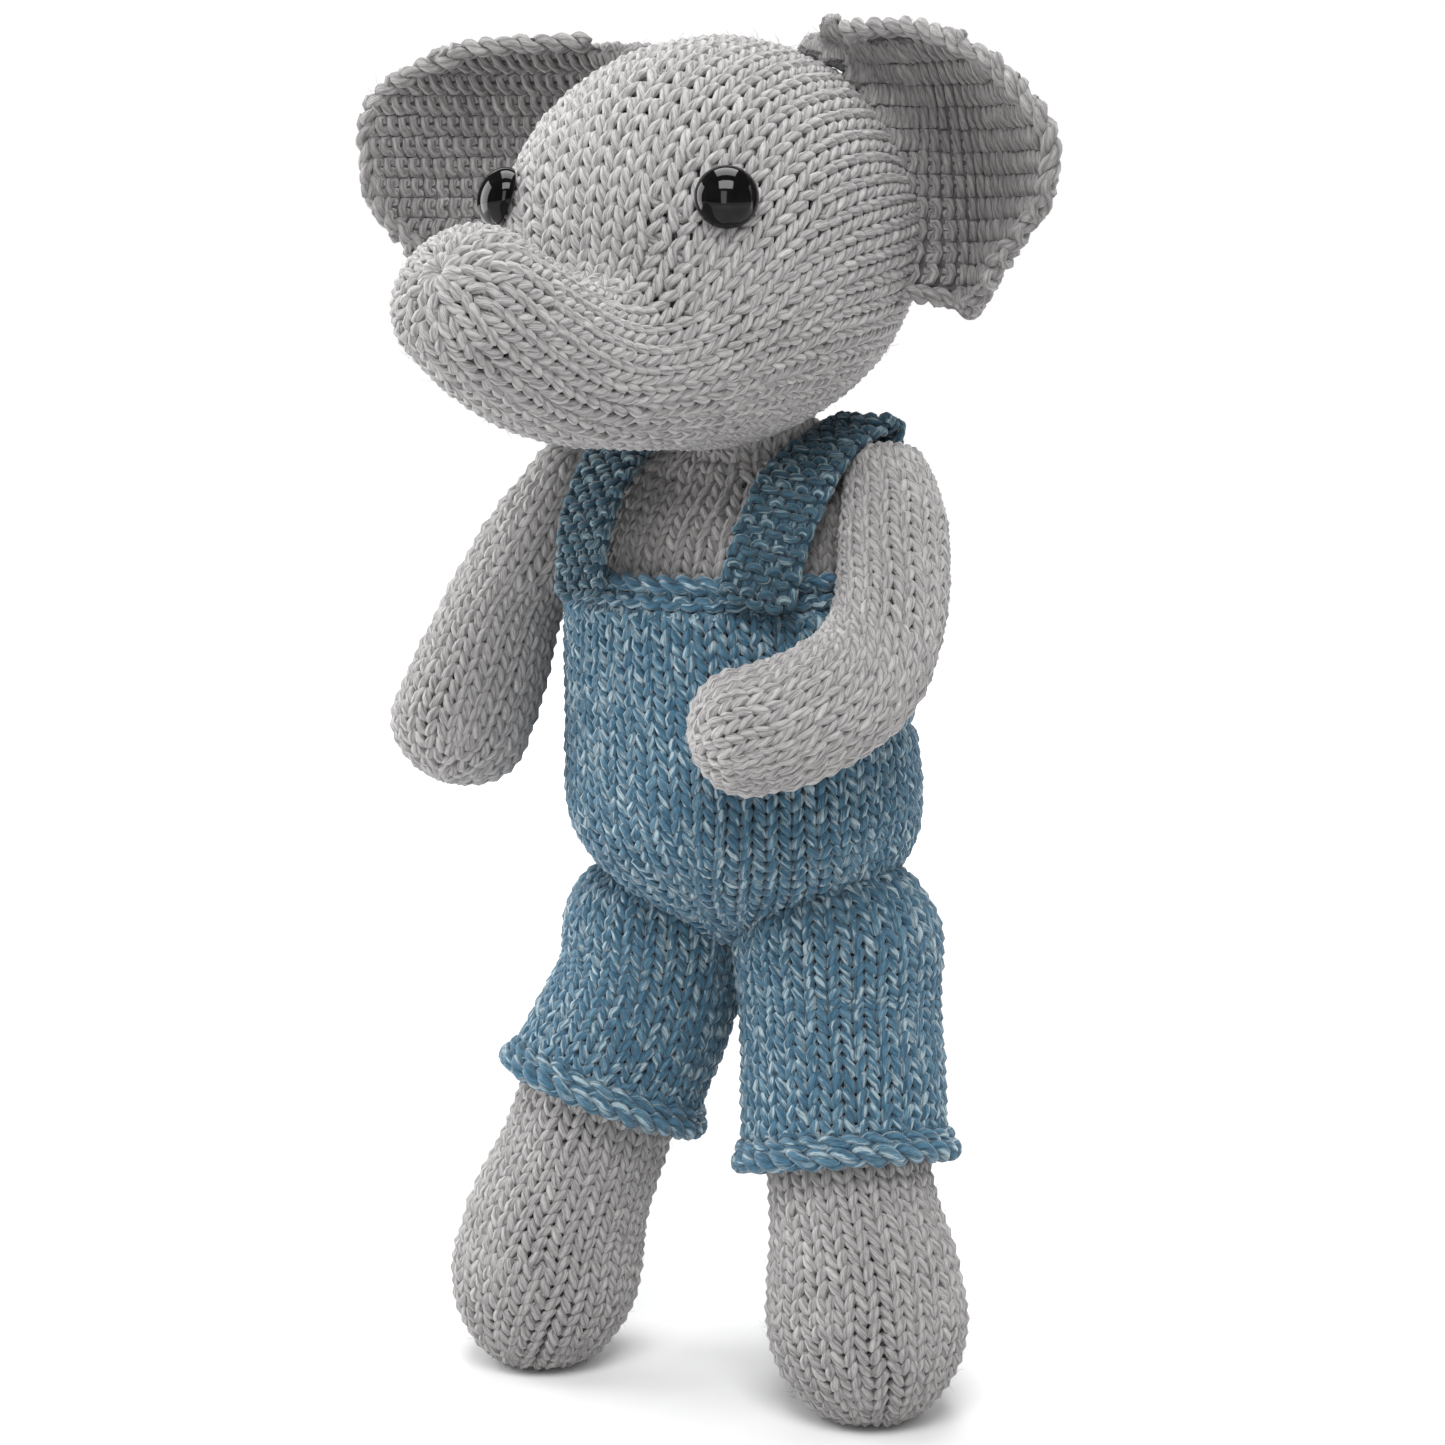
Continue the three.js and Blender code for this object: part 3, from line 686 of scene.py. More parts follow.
# dark inner sheets seen between the loops: painted shade
GREY_LINING_SHADE = plain_material("grey_fabric_painted_shade", (0.05, 0.048, 0.05), (0.11, 0.105, 0.11), 900, 1.0, 0.6, 0.0005, 0.0)
# the blue inner sheets are dark as well: painted shade between the loops
BLUE_LINING_SHADE = plain_material("blue_fabric_painted_shade", (0.008, 0.024, 0.04), (0.02, 0.055, 0.085), 900, 1.0, 0.6, 0.0005, 0.0)
FILL = plain_material("polyester_filling", (0.62, 0.61, 0.58), (0.86, 0.85, 0.82), 260, 0.95, 0.9, 0.0012, 0.3, 6.0)
WASHER = plain_material("milky_polyethylene", (0.62, 0.61, 0.58), (0.74, 0.73, 0.70), 500, 0.42, 0.15, 0.0001)


def eye_material():
    m, nt, b = nodes_of("black_eye")
    tc = nt.nodes.new("ShaderNodeTexCoord")
    n = noise_node(nt, tc.outputs["Object"], 420.0, 3.0, 0.5)
    nt.links.new(mix_node(nt, ramp_node(nt, n, 0.4, 0.8), (0.0035, 0.0033, 0.0035), (0.007, 0.0065, 0.007)), b.inputs["Base Color"])
    b.inputs["Roughness"].default_value = 0.05
    b.inputs["Specular IOR Level"].default_value = 0.21
    bp = nt.nodes.new("ShaderNodeBump")
    bp.inputs["Strength"].default_value = 0.02
    bp.inputs["Distance"].default_value = 0.00005
    nt.links.new(n, bp.inputs["Height"])
    nt.links.new(bp.outputs[0], b.inputs["Normal"])
    return m


EYE = eye_material()
BLUE_SPEC = dict(GREY_SPEC, seg=11, a=0.24, b=0.74, r=0.98)


def placed(o, body, slot_name, *nodes):
    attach(o, body)
    if nodes:
        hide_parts(*nodes)
    return o


# -------------------------------------------------------------------- head
def head_surface(grow=0.0):
    keys = []
    for f, z, tau, a, b in HEAD:
        t = math.radians(tau)
        keys.append((0, HEAD_Y - f, z, a, b, 0, -math.cos(t), math.sin(t)))
    sec = sections(keys, 12, cap0=3.5, cap1=9, grow=grow)
    return Surface(about_z(loft(sec, (1, 0, 0), 240), HEAD_TURN))


head = head_surface()
rows, step = rounds(head, 2.0, head.length - 1.2, 2.9, 4.75, [7, 10, 14, 18, 22, 26, 30, 34, 40, 46, 52], turn=0.013)
third = [0, int(len(rows) * 0.36), int(len(rows) * 0.62), len(rows)]
for i, name in enumerate(("head_knit_back", "head_knit_face", "trunk_knit")):
    M = Mesh()
    knit(M, head, rows[third[i]:third[i + 1]], GREY_SPEC)
    M.fuzz(0.12)
    o = placed(M.make(name, [GREY]), "head", "grey_knit")
M = Mesh()
lining(M, head, 0.3, head.length - 0.3, -2.7, 0, nu=72, shut=(True, True))
o = placed(M.make("head_fabric", [GREY_LINING_SHADE]), "head", "grey_knit", "head_skin")


def head_point(x, z):
    """Where the face is at x, z of the unturned head, and its normal."""
    flat = about_z(head.P.reshape(-1, 3), -HEAD_TURN).reshape(head.P.shape)
    nrm = about_z(head.N.reshape(-1, 3), -HEAD_TURN).reshape(head.N.shape)
    d = np.hypot(flat[..., 0] - x, flat[..., 2] - z) + (flat[..., 1] > HEAD_Y) * 1e3
    j, i = np.unravel_index(d.argmin(), d.shape)
    return about_z(flat[j, i][None], HEAD_TURN)[0], about_z(nrm[j, i][None], HEAD_TURN)[0]


def lathe(profile, base, axis, n=64):
    """Grid of a turned profile of (radius, height) rows."""
    axis = unit(np.asarray(axis, float))
    x = unit(np.cross(axis, [0, 0, 1.0]))
    y = np.cross(axis, x)
    th = np.linspace(0, 2 * np.pi, n, endpoint=False)
    ring = np.cos(th)[:, None] * x + np.sin(th)[:, None] * y
    return np.stack([base + max(r, 1e-4) * ring + h * axis for r, h in profile])


for side, name in ((1, "left_eye"), (-1, "right_eye")):
    p, n = head_point(side * 25, 235.2)
    ph = np.linspace(0.02, np.pi / 2, 26)
    dome = [(5.85 * math.sin(a), 0.2 + 4.6 * math.cos(a)) for a in ph]
    prof = dome + [(5.85, 0.05), (5.8, -0.05), (5.2, -0.1), (1.7, -0.1), (1.6, -0.4), (1.6, -6.4), (1.3, -6.6), (0.02, -6.6)]
    V = lathe(prof, p + 0.45 * n, n)[::-1]
    M = Mesh()
    m, k = V.shape[:2]
    M.grid(V, (np.repeat(np.arange(k + 1)[None] * 0.1, m + 1, 0), np.repeat(np.arange(m + 1)[:, None] * 0.3, k + 1, 1)), True, False, 0, strip=-2)
    placed(M.make(name + "_dome", [EYE]), "head", "eye_black", name)


# --------------------------------------------------------------------- ears
EAR_ROOT = [(14, -7, 264.5), (27, -1, 257.5), (33, 3, 249), (37, 5, 238.5), (39.5, 6, 228), (41.5, 4.5, 217)]
EAR_RIM_L = [(20, -7, 268.6), (51, -12, 266), (69, -15, 255), (76, -14, 241.5), (65.5, -10, 226.5), (51.5, -4, 213.0)]
EAR_RIM_R = [(30, -6, 267), (57, -12, 266.5), (80, -15, 257.5), (86, -14, 246), (82, -12, 231), (60, -6, 214)]
EAR_DISH = 7.0


class Ear:
    """Height field y(x, z) of one ear; u is x in mm, v is height in mm."""

    def __init__(self, rim, sign):
        self.sign = sign
        R, Q = curve(EAR_ROOT, 12), curve(rim, 12)
        w = np.linspace(0.0, 1.0, 30)
        P = R[:, None] * (1 - w)[None, :, None] + Q[:, None] * w[None, :, None]
        P[..., 1] += EAR_DISH * np.sin(np.pi * np.minimum(w * 1.15, 1.0)) ** 0.9
        R = R - np.array([5.0, 0, 0]) * np.linspace(0.6, 1.0, len(R))[:, None]
        self.R, self.Q, self.P = R, Q, P
        x, y, z = P.reshape(-1, 3).T
        self.c0 = (x.mean(), z.mean())
        self.k = np.linalg.lstsq(self.basis(x, z), y, rcond=None)[0]
        self.length, self.closed = 80.0, False
        self.outline = np.vstack([R, Q[::-1]])

    def basis(self, x, z):
        a, b = (x - self.c0[0]) / 25.0, (z - self.c0[1]) / 25.0
        return np.stack([a**i * b**j for i in range(6) for j in range(6 - i)], -1)

    def y(self, x, z):
        return self.basis(x, z) @ self.k

    def at(self, u, v, lift=0.0):
        x, z = np.asarray(u, float), np.asarray(v, float)
        y = self.y(x, z)
        e = 0.2
        gx = (self.y(x + e, z) - self.y(x - e, z)) / (2 * e)
        gz = (self.y(x, z + e) - self.y(x, z - e)) / (2 * e)
        n = unit(np.stack([gx, -np.ones_like(gx), gz], -1))  # towards the front
        p = np.stack([x, y, z], -1) + n * np.asarray(lift)[..., None]
        p[..., 0] *= self.sign
        n = n.copy()
        n[..., 0] *= self.sign
        return about_z(p, HEAD_TURN), about_z(n, HEAD_TURN)

    def span(self, x):
        """Lowest and highest z of the ear at x."""
        o = np.vstack([self.outline, self.outline[:1]])
        zs = []
        for p, q in zip(o[:-1], o[1:]):
            if (p[0] - x) * (q[0] - x) < 0:
                zs.append(p[2] + (x - p[0]) / (q[0] - p[0]) * (q[2] - p[2]))
        return (min(zs), max(zs)) if len(zs) >= 2 else None


def ear(name, rim, sign, node):
    E = Ear(rim, sign)
    M = Mesh()
    wale, pitch = 4.2, 2.55
    x0 = E.outline[:, 0].min() + 3.0
    x1 = E.outline[:, 0].max()
    gx = np.linspace(x0, x1 - 1.2, 240)
    gy = E.y(gx, np.full(240, 238.0))
    gs = np.concatenate([[0], np.cumsum(np.hypot(np.diff(gx), np.diff(gy)))])
    row_s = np.arange(0.0, gs[-1], pitch)
    xs = np.interp(row_s, gs, gx)
    hx = 0.8 * pitch * np.interp(row_s, gs, np.gradient(gx, gs))
    spec = dict(GREY_SPEC, seg=12, sides=7, b=0.95, r=0.94, a=0.30, foot=-0.8)
    start = 0.0
    for i, x in enumerate(xs):
        sp = E.span(x)
        if sp is None:
            continue
        lo, hi = sp[0] + 1.2, sp[1] - 1.2
        k0, k1 = math.ceil((lo - 200) / wale), math.floor((hi - 200) / wale)
        zs = 200 + wale * np.arange(k0, k1 + 1, dtype=float)
        if len(zs) < 2:
            if hi - lo < 2:
                continue
            zs = np.array([lo * 0.7 + hi * 0.3, lo * 0.3 + hi * 0.7])
        zs = zs + RNG.normal(0, 0.12, len(zs))
        u, v, z, r, ph = lay_row(E, zs, x, hx[i], hx[i], -1, -1, spec, False)
        # u runs up the ear here, v across it
        p, n = E.at(v, np.clip(u, lo - 0.8, hi + 0.8), z)
        M.tube(p, n, r, 7, False, start=start, twist=0.06)
        start += 71.0
    # cast-off edge: fat slanted loops round the free edge
    edge = E.Q[2:]
    q = np.vstack([edge, E.R[-1:]])
    s = np.concatenate([[0], np.cumsum(np.linalg.norm(np.diff(q, axis=0), axis=1))])
    t = np.linspace(0, s[-1], int(s[-1] / 1.0))
    q = np.stack([np.interp(t, s, q[:, k]) for k in range(3)], 1)
    for _ in range(10):
        q[1:-1] = (q[:-2] + 2 * q[1:-1] + q[2:]) / 4
    inner = np.array([45.0, 0, 240.0])
    pull = unit((inner - q) * [1, 0, 1])
    c = q + pull * 1.0
    C, N = E.at(c[:, 0], c[:, 2], np.full(len(c), 0.3))
    wob = wobble(len(C), 0.35, 3)
    rope(M, C + N * wob[:, None], N, 1.12, 0.95, 8.0, False, sides=8, phase=1.0)
    M.fuzz(0.08)
    # the ears' loops take the darker grey yarn: painted shade
    o = M.make(name + "_knit", [GREY_EAR_SHADE])
    # the sheet inside: thin, between the two faces of the stitches; its dark colour is painted shade seen between them
    F = Mesh()
    w = np.linspace(0.05, 0.93, 14)
    P = E.R[6:-2, None] * (1 - w)[None, :, None] + E.Q[6:-2, None] * w[None, :, None]
    A, _ = E.at(P[..., 0], P[..., 2], np.full(P.shape[:2], 0.25))
    B, _ = E.at(P[..., 0], P[..., 2], np.full(P.shape[:2], -0.25))
    if sign < 0:
        A, B = A[:, ::-1], B[:, ::-1]
    box_grid(F, A, B, 0)
    f = F.make(name + "_fabric", [GREY_LINING_SHADE], weld=True)
    root, tip = E.R.mean(0), E.Q.mean(0)
    for piece in (o, f):
        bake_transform(piece)
    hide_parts(node)


ear("left_ear", EAR_RIM_L, 1, "left_ear")
ear("right_ear", EAR_RIM_R, -1, "right_ear")

# --------------------------------------------------------------------- neck
M = Mesh()
th = np.linspace(0, 2 * np.pi, 72, endpoint=False)
rope(M, np.stack([9.6 * np.cos(th), 9.6 * np.sin(th), np.full(72, 186.4)], 1), np.tile([0, 0, 1.0], (72, 1)), 0.62, 0.55, 5.0, True)
placed(M.make("neck_thread", [GREY]), "neck", "grey_knit", "neck_seam")

# the gathered rounds between body and head, which turn with the neck
gather = Surface(loft(sections([(0, 0.5, 179.5, 12.5, 11), (0, 0.5, 184, 12.8, 11.2), (0, 0.8, 190, 13.2, 11.6),
                                (0, 1.2, 197, 14.2, 12.6)], 12), (1, 0, 0), 120))
rows, step = rounds(gather, 1.2, gather.length - 1.2, 2.95, 4.25, [18], turn=0.01)
M = Mesh()
knit(M, gather, rows, GREY_SPEC)
placed(M.make("neck_knit", [GREY]), "neck", "grey_knit")
M = Mesh()
lining(M, gather, 0.0, gather.length, -2.6, 0, nu=48, shut=(True, True))
o = placed(M.make("neck_fabric", [GREY_LINING_SHADE]), "neck", "grey_knit")

# -------------------------------------------------------------------- torso
torso = Surface(loft(sections(TORSO, 12, cap1=4.5), (1, 0, 0), 200))


def v_at(surf, z):
    """v of the mean height z on an upright surface."""
    zz = surf.P[..., 2].mean(1)
    return float(np.interp(z, zz, np.linspace(0, surf.length, surf.nv))) if zz[-1] > zz[0] else \
        float(np.interp(-z, -zz, np.linspace(0, surf.length, surf.nv)))


rows, step = rounds(torso, v_at(torso, 127), torso.length - 2.5, 2.95, 4.25, [14, 20, 26, 32, 38, 44], turn=0.01)
M = Mesh()
knit(M, torso, rows, GREY_SPEC)
M.fuzz(0.06)
o = placed(M.make("torso_knit", [GREY]), "torso", "grey_knit")
M = Mesh()
lining(M, torso, 0.0, torso.length, -2.6, 0, nu=64, shut=(True, True))
o = placed(M.make("torso_fabric", [GREY_LINING_SHADE]), "torso", "grey_knit", "torso_skin")

# ---------------------------------------------------------- dungarees, body
G = 3.45
TOP = [
    (0, 0.5, 85.5, 4, 5), (0, 0.4, 88.5, 10, 11), (0.3, 0.2, 94.0, 19, 18), (0.5, 0, 100.0, 27.5, 25.3),
    (0.4, -0.8, 108.0, 34.0, 31.8), (0, -1.4, 116.0, 36.3, 34.0), (-0.5, -1.2, 125.0, 36.2, 33.8),
    (-2, -1.3, 142.0, 34.9, 32.4), (-4, -1.5, 158.0, 33.0, 30.0), (-4, -1.2, 165.5, 31.6, 28.2)]
body = Surface(loft(sections(TOP, 10, level=(0, 0, 1.0)), (1, 0, 0), 220))


def edge_z(u):
    """Height of the garment's top edge round the body; u = 0.75 is in front."""
    d = np.abs((np.asarray(u) - 0.75 + 0.5) % 1.0 - 0.5) * 360
    return np.interp(d, [0, 66, 74, 82, 92, 102, 180], [163.0, 163.0, 161.5, 153.0, 146.5, 142.5, 142.0])


M = Mesh()
v142, v_low = v_at(body, 141.5), v_at(body, 88.0)
rows, step = rounds(body, v_low, v142, 2.62, 4.75, [10, 16, 22, 28, 34, 40, 46], turn=0.004)
last = rows[-1]["U"]
garter_from = v_at(body, 132.0)
for i, q in enumerate(rows):
    if q["v"] > garter_from:
        d = np.abs((q["U"] - 0.75 + 0.5) % 1.0 - 0.5) * 360
        k = i % 4 < 2
        back = d > 97
        q["side"] = np.where(back & k, -1.0, 1.0)
        q["side_up"] = q["side"]
v = v142 + step * 0.5
n = len(last)
i = len(rows)
top_v = v_at(body, 163.0)
Uc = (last - 0.75 + 0.5) % 1.0 - 0.5 + 0.75
Uc = np.sort(Uc)
while v < top_v:
    z_here = np.interp(v, np.linspace(0, body.length, body.nv), body.P[..., 2].mean(1))
    keep = edge_z(Uc) > z_here + 0.6
    s = 1.0
    if z_here > 156.8:
        s = -1.0 if int(round((top_v - v) / step)) % 4 in (1, 2) else 1.0
    rows.append(dict(U=Uc[keep] + RNG.normal(0, 0.0006, keep.sum()), v=v, up=0.79 * step, dn=0.79 * step, side=s, side_up=s, open=True))
    v += step
    i += 1
closed_rows = [q for q in rows if not q.get("open")]
open_rows = [q for q in rows if q.get("open")]
knit(M, body, closed_rows, BLUE_SPEC)
knit(M, body, open_rows, BLUE_SPEC, closed=False)
# cast-off edge
u = np.linspace(0, 1, 361)[:-1]
ez = edge_z(u)
for _ in range(4):
    ez = (np.roll(ez, 1) + 2 * ez + np.roll(ez, -1)) / 4
zz = body.P[..., 2].mean(1)
ev = np.interp(ez, zz, np.linspace(0, body.length, body.nv))
C, N = body.at(u, ev, np.full(360, -1.2))
rope(M, C, N, 1.08, 0.92, 8.2, True, sides=8)
M.fuzz(0.08)
o = placed(M.make("dungarees_body_knit", [BLUE]), "torso", "blue_knit")


def shell(surf, v0, top, lift_out, lift_in, nu, nv, mat_list, name, shut_low=False):
    """A closed two-sided sheet between v0 and top(u)."""
    u = np.arange(nu) / nu
    t = np.linspace(0, 1, nv)[:, None]
    v = v0 + (top(u)[None] - v0) * t
    uu = np.tile(u, (nv, 1))
    A, _ = surf.at(uu, v, np.full(v.shape, lift_out))
    B, _ = surf.at(uu, v, np.full(v.shape, lift_in))
    F = Mesh()
    V = np.concatenate([A, B[::-1]], 0)
    if shut_low:
        V = np.concatenate([A[:1].mean(1, keepdims=True).repeat(nu, 1), V, B[:1].mean(1, keepdims=True).repeat(nu, 1)])
    m = len(V)
    F.grid(V, (np.repeat((np.arange(nu + 1) * 0.3)[None], m + 1, 0), np.repeat((np.arange(m + 1) * 2.0)[:, None], nu + 1, 1)), True, not shut_low, 0, strip=-6)
    return F.make(name, mat_list, weld=True)


# the dark sheet under the loops: painted shade
o = shell(body, v_at(body, 87.5), lambda u: np.interp(edge_z(u) - 1.2, zz, np.linspace(0, body.length, body.nv)), -1.95, -2.7, 96, 30, [BLUE_LINING_SHADE], "dungarees_body_fabric", True)
placed(o, "torso", "blue_knit", "dungarees_top")


# ------------------------------------------------------------------- straps
def strap(name, node, front_x, top_x, back_x, body_name="torso"):
    """Garter band from the bib over the shoulder to the back edge."""
    k = np.sign(front_x)
    d = top_x - front_x
    keys = [
        (front_x, -30.8, 159.5), (front_x + d * 0.28, -27.2, 172.0), (front_x + d * 0.36, -18.5, 182.4),
        (front_x + d * 0.42, -9.0, 187.9), (front_x + d * 0.62, -1.0, 191.4), (top_x, 7.5, 194.2),
        (top_x - k * 0.6, 15.5, 188.5), (top_x + (back_x - top_x) * 0.75, 18.6, 177.0),
        (back_x, 23.0, 160.0), (back_x, 29.4, 139.5)]
    c = curve(keys, 16)
    t = unit(np.gradient(c, axis=0))
    # the band's cross direction follows the body it lies on
    tilt = np.interp(np.linspace(0, 9, len(c)), [0, 2, 3, 4, 5, 6, 7, 9], [0, -0.1, 0.0, 0.08, 0.05, -0.25, -0.3, 0]) * k
    yaw = np.where(c[:, 1] < 0, np.clip(-c[:, 1] / 30, 0, 1) * (c[:, 0] + 3) / 33 * 0.75,
                   -np.clip((c[:, 1] - 7) / 10, 0, 1) * k * 0.72)
    w = np.stack([np.ones(len(c)), yaw, -tilt * -1.0], 1)
    w = unit(w - (w * t).sum(1, keepdims=True) * t)
    s = np.linspace(-7.9, 7.9, 15)
    P = c[:, None] + s[None, :, None] * w[:, None]
    S = Surface(P, closed=False)
    M = Mesh()
    pitch = 2.36
    garter = dict(BLUE_SPEC, r=0.92, b=0.95, a=0.225, seg=14, jz=0.12)
    n_rows = int(S.length / pitch)
    path = []
    for i in range(n_rows):
        side = -1.0 if i % 2 == 0 else 1.0
        U = np.linspace(0.155, 0.845, 4) + RNG.normal(0, 0.010, 4)
        v0 = (i + 0.62) * S.length / (n_rows + 0.4)
        h = (0.54 if side < 0 else 0.80) * pitch
        u, v, z, r, ph = lay_row(S, U, v0, h, h, side, side, garter, False)
        z = z + (0.25 if side < 0 else -0.85) + RNG.normal(0, 0.08)
        row = np.stack([u, v, z, r], 1)[3:-3]
        if i % 2:
            row = row[::-1]
        if path:  # the turn at the edge
            a_, b_ = path[-1][-1], row[0]
            t_ = np.linspace(0, 1, 6)[1:-1, None]
            turn = a_ * (1 - t_) + b_ * t_
            turn[:, 0] += (0.045 if a_[0] > 0.5 else -0.045) * np.sin(np.pi * t_[:, 0])
            turn[:, 2] += 0.5 * np.sin(np.pi * t_[:, 0])
            path.append(turn)
        path.append(row)
    path = np.vstack(path)
    for _ in range(2):
        path[1:-1] = (path[:-2] + 2 * path[1:-1] + path[2:]) / 4
    p, nrm = S.at(np.clip(path[:, 0], 0.005, 0.995), path[:, 1], path[:, 2] - 1.7)
    M.tube(p, nrm, path[:, 3], 8, False, twist=0.06)
    M.fuzz(0.06)
    # the strap's loops take the darker blue yarn: painted shade
    o = placed(M.make(name + "_knit", [BLUE_STRAP_SHADE]), body_name, "blue_knit")
    # the dark band under the loops: painted shade
    F = Mesh()
    u = np.linspace(0.05, 0.95, 9)
    v = np.linspace(0.6, S.length - 0.6, 60)
    uu, vv = np.meshgrid(u, v)
    A, _ = S.at(uu, vv, np.full(uu.shape, -1.5))
    B, _ = S.at(uu, vv, np.full(uu.shape, -2.1))
    box_grid(F, A, B, 0)
    f = placed(F.make(name + "_fabric", [BLUE_LINING_SHADE], weld=True), body_name, "blue_knit", node)


strap("left_strap", "left_strap", 15.4, 22.6, 15.75)
strap("right_strap", "right_strap", -22.8, -26.0, -22.75)


# --------------------------------------------------------------------- arms
def swap_loft(sec, m):
    return loft(sec, (0, 1, 0), m)


def limb(name, keys, cap0, cap1, gauge, pitch, steps, n_from, n_to, node, lo=0.0, hi=None, floor=None, turn=0.0):
    """A stuffed limb, knitted from its far end towards the body."""
    sec = sections([(k[0], k[1], k[2], k[4], k[3]) for k in keys], 12, cap0=cap0, cap1=cap1)
    P = swap_loft(sec, 160)[::-1]
    if floor is not None:
        z = P[..., 2]
        P[..., 2] = np.where(z < floor, floor + (z - floor) * 0.04, z)
    S = Surface(P, flip=True)
    hi = S.length if hi is None else hi
    rows, step = rounds(S, lo + 1.0, hi - 0.5, pitch, gauge, steps, turn=turn)
    M = Mesh()
    knit(M, S, rows, GREY_SPEC)
    M.fuzz(0.11)
    F = Mesh()
    lining(F, S, 0.2, S.length - 0.2, -2.6, 0, nu=44, shut=(True, True))
    o = M.make(name + "_knit", [GREY])
    f = F.make(name + "_fabric", [GREY_LINING_SHADE])
    return S, o, f


S, o, f = limb("left_arm", ARM_L, 6, 11, 4.1, 3.1, [8, 12, 16, 20], 8, 20, "left_arm_skin", turn=0.02)
for p in (o, f):
    placed(p, "left_arm", "grey_knit")
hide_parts("left_arm_skin")
S, o, f = limb("right_arm", ARM_R, 6, 12, 4.2, 3.1, [8, 12, 16, 20], 8, 20, "right_arm_skin", turn=0.02)
for p in (o, f):
    placed(p, "right_arm", "grey_knit")
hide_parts("right_arm_skin")

# --------------------------------------------------------------------- legs
for name, keys in (("left_leg", LEG_L), ("right_leg", LEG_R)):
    S, o, f = limb(name, keys, 12.5, 23, 4.7, 2.75, [8, 14, 20, 22, 24, 28], 8, 28, name + "_skin", hi=None, floor=0.4, turn=0.03)
    for p in (o, f):
        placed(p, name, "grey_knit")
    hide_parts(name + "_skin")

# ----------------------------------------------------------- dungarees, legs
SHORT_L = [
    (17.6, -1, 104.8, 3, 4), (17.8, -1, 102.8, 10, 11.5), (19.2, -1.2, 98.5, 17.4, 17.7), (20.2, -1.5, 92, 21.2, 20.5),
    (20.8, -1.8, 85, 21.2, 20.8), (21.5, -2.6, 77, 20.5, 20.2), (22.9, -4.8, 69, 20.6, 20.0), (24.2, -7, 62, 20.8, 20.2),
    (25.2, -8.9, 55, 20.8, 20.4), (26.4, -10.5, 48, 21.0, 20.6)]
SHORT_R = [
    (-17.6, -1, 104.8, 3, 4), (-17.8, -1, 102.8, 10, 11.5), (-18.2, -1.2, 98.5, 16.2, 17.5), (-18.8, -1.5, 92, 19.4, 20.3),
    (-19.3, -1.8, 85, 19.6, 20.6), (-20.4, -2.7, 78, 19.2, 20.0), (-23.0, -4.6, 70, 19.7, 19.8), (-26.2, -6.9, 62, 20.2, 20.2),
    (-28.5, -9, 54.5, 20.7, 20.7)]
for name, keys, leg in (("left", SHORT_L, "left_leg"), ("right", SHORT_R, "right_leg")):
    sec = sections([(k[0], k[1], k[2], k[4], k[3]) for k in keys], 10)
    P = swap_loft(sec, 180)[::-1]
    S = Surface(P, flip=True)
    rows, step = rounds(S, 2.2, S.length - 4.0, 2.62, 4.7, [8, 14, 20, 26], turn=0.01)
    for q in rows[:1]:
        q["side"] = q["side_up"] = -1.0
    M = Mesh()
    knit(M, S, rows, BLUE_SPEC)
    u = np.arange(160) / 160
    C, N = S.at(u, np.full(160, 0.7), np.full(160, -0.35))
    rope(M, C, N, 1.30, 1.15, 8.6, True, sides=9)
    C, N = S.at(u, np.full(160, 3.4), np.full(160, -0.75))
    rope(M, C, N, 1.02, 0.80, 8.6, True, sides=8, phase=2.0)
    M.fuzz(0.08)
    o = M.make("dungarees_%s_leg_knit" % name, [BLUE])
    # the dark sheet under the loops: painted shade
    f = shell(S, 1.0, lambda u: np.full(len(u), S.length - 2.0), -1.95, -2.6, 64, 24, [BLUE_LINING_SHADE], "dungarees_%s_leg_fabric" % name)
    for p in (o, f):
        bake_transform(p)
    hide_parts("dungarees_%s_leg" % name)

# ------------------------------------------------------- pieces kept from CAD
# the CAD skins, garments and straps that stay get the dark lining materials: painted shade
for n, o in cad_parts.items():
    if n.endswith("stuffing"):
        mat = FILL
    elif n.endswith("washer"):
        mat = WASHER
    elif n.endswith("eye"):
        mat = EYE
    elif n.startswith("dungarees") or n.endswith("strap"):
        mat = BLUE_LINING_SHADE
    else:
        mat = GREY_LINING_SHADE
    o.data.materials.clear()
    o.data.materials.append(mat)

# ------------------------------------------------------------ floor and light
def floor():
    me = bpy.data.meshes.new("floor")
    n = 24
    g = np.linspace(-4.0, 4.0, n + 1)
    X, Y = np.meshgrid(g, g, indexing="ij")
    co = np.stack([X, Y, np.full(X.shape, -0.0002)], -1).reshape(-1, 3)
    f = [[i * (n + 1) + j, (i + 1) * (n + 1) + j, (i + 1) * (n + 1) + j + 1, i * (n + 1) + j + 1] for i in range(n) for j in range(n)]
    me.from_pydata(co.tolist(), [], f)
    o = bpy.data.objects.new("floor", me)
    bpy.context.scene.collection.objects.link(o)
    m = plain_material("pale_floor", (0.78, 0.78, 0.78), (0.81, 0.81, 0.81), 8, 0.9, 0.02)
    nt = m.node_tree
    tc = nt.nodes.new("ShaderNodeTexCoord")
    ln = nt.nodes.new("ShaderNodeVectorMath")
    ln.operation = "LENGTH"
    nt.links.new(tc.outputs["Object"], ln.inputs[0])
    glow = math_node(nt, "MULTIPLY", ramp_node(nt, ln.outputs["Value"], 0.35, 0.95), 1.0)
    b = [q for q in nt.nodes if q.type == "BSDF_PRINCIPLED"][0]
    b.inputs["Emission Color"].default_value = (1, 1, 1, 1)
    nt.links.new(glow, b.inputs["Emission Strength"])
    me.materials.append(m)


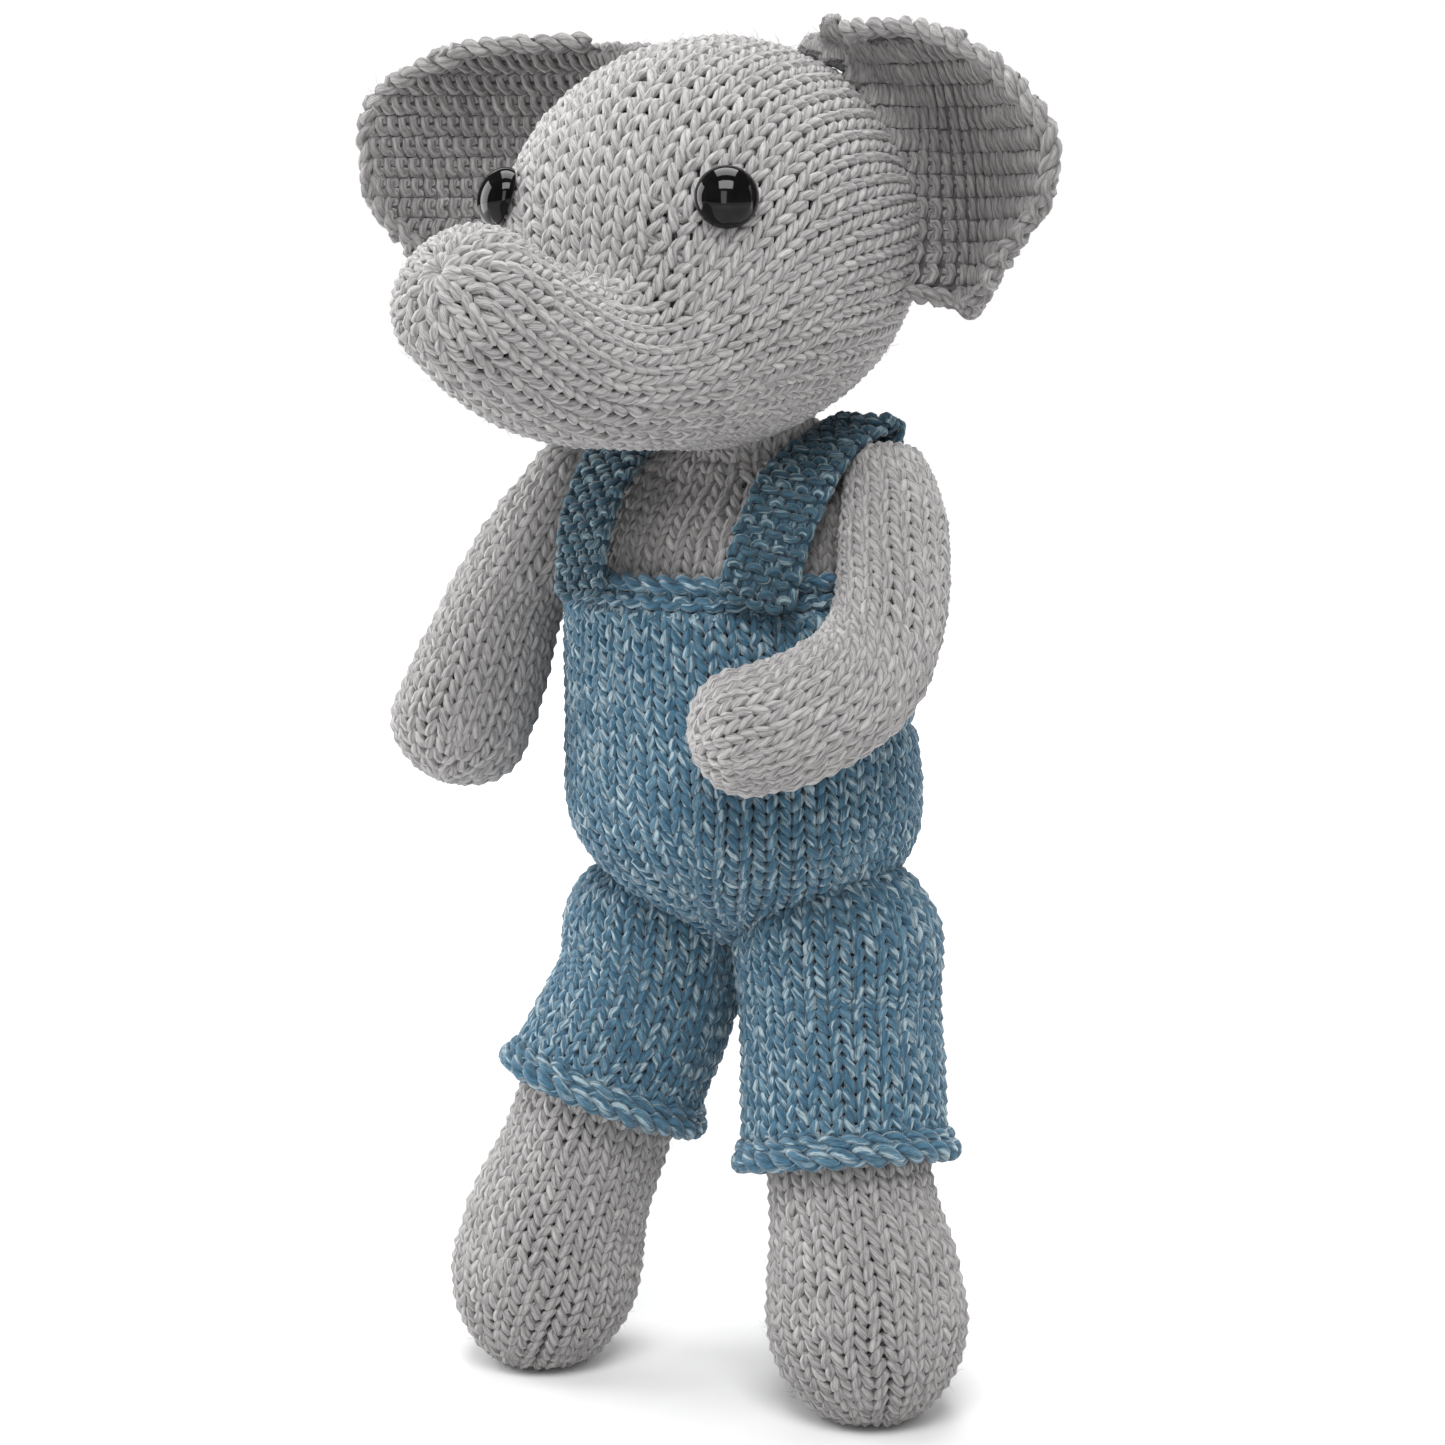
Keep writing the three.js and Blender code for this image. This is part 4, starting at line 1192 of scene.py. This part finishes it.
def area(name, at, to, size, watts, colour=(1, 1, 1), size_y=None):
    l = bpy.data.lights.new(name, "AREA")
    l.shape = "RECTANGLE"
    l.size, l.size_y = size, size_y or size
    l.energy = watts
    l.color = colour
    o = bpy.data.objects.new(name, l)
    bpy.context.scene.collection.objects.link(o)
    o.location = at
    o.rotation_euler = (Vector(to) - Vector(at)).to_track_quat("-Z", "Y").to_euler()
    return o


floor()
centre = Vector((0.002, 0.031, 0.13))
T = Vector((2.353, 31.016, 132.0)) * MM
az, el = math.radians(25.0), math.radians(9.0)
out = Vector((math.sin(az) * math.cos(el), -math.cos(az) * math.cos(el), math.sin(el)))
right = Vector((math.cos(az), math.sin(az), 0))
front = Vector((math.sin(az), -math.cos(az), 0))
cam = bpy.data.cameras.new("camera")
cam.lens, cam.sensor_width, cam.sensor_fit = 80.97, 36.0, "HORIZONTAL"
cam.clip_start, cam.clip_end = 0.01, 20
co = bpy.data.objects.new("camera", cam)
bpy.context.scene.collection.objects.link(co)
co.location = T + out * 0.65
co.rotation_euler = (-out).to_track_quat("-Z", "Y").to_euler()
bpy.context.scene.camera = co

up = Vector((0, 0, 1))
area("top", centre + up * 0.75 - front * 0.12, centre, 0.5, 5.4)
area("left_side", centre - right * 0.6 - front * 0.12 + up * 0.12, centre, 0.4, 5.5, size_y=0.7)
area("right_side", centre + right * 0.6 - front * 0.12 + up * 0.12, centre, 0.4, 2.1, size_y=0.7)
area("front", centre + front * 1.1 + up * 0.35 - right * 0.12, centre, 0.3, 2.6, size_y=0.7)
area("key", centre + front * 0.62 + up * 0.82, centre, 0.6, 9.2, size_y=0.4)
area("back", centre - front * 0.9 + up * 0.3, centre, 0.9, 4.0)

world = bpy.data.worlds.new("world")
bpy.context.scene.world = world
world.use_nodes = True
wt = world.node_tree
bg = wt.nodes["Background"]
bg.inputs[0].default_value = (1, 1, 1, 1)
bg.inputs[1].default_value = 0.055
seen = wt.nodes.new("ShaderNodeBackground")
seen.inputs[0].default_value = (1, 1, 1, 1)
seen.inputs[1].default_value = 1.0
ray = wt.nodes.new("ShaderNodeLightPath")
pick = wt.nodes.new("ShaderNodeMixShader")
wt.links.new(ray.outputs["Is Camera Ray"], pick.inputs[0])
wt.links.new(bg.outputs[0], pick.inputs[1])
wt.links.new(seen.outputs[0], pick.inputs[2])
wt.links.new(pick.outputs[0], wt.nodes["World Output"].inputs[0])
bpy.context.scene.view_settings.view_transform = "Standard"
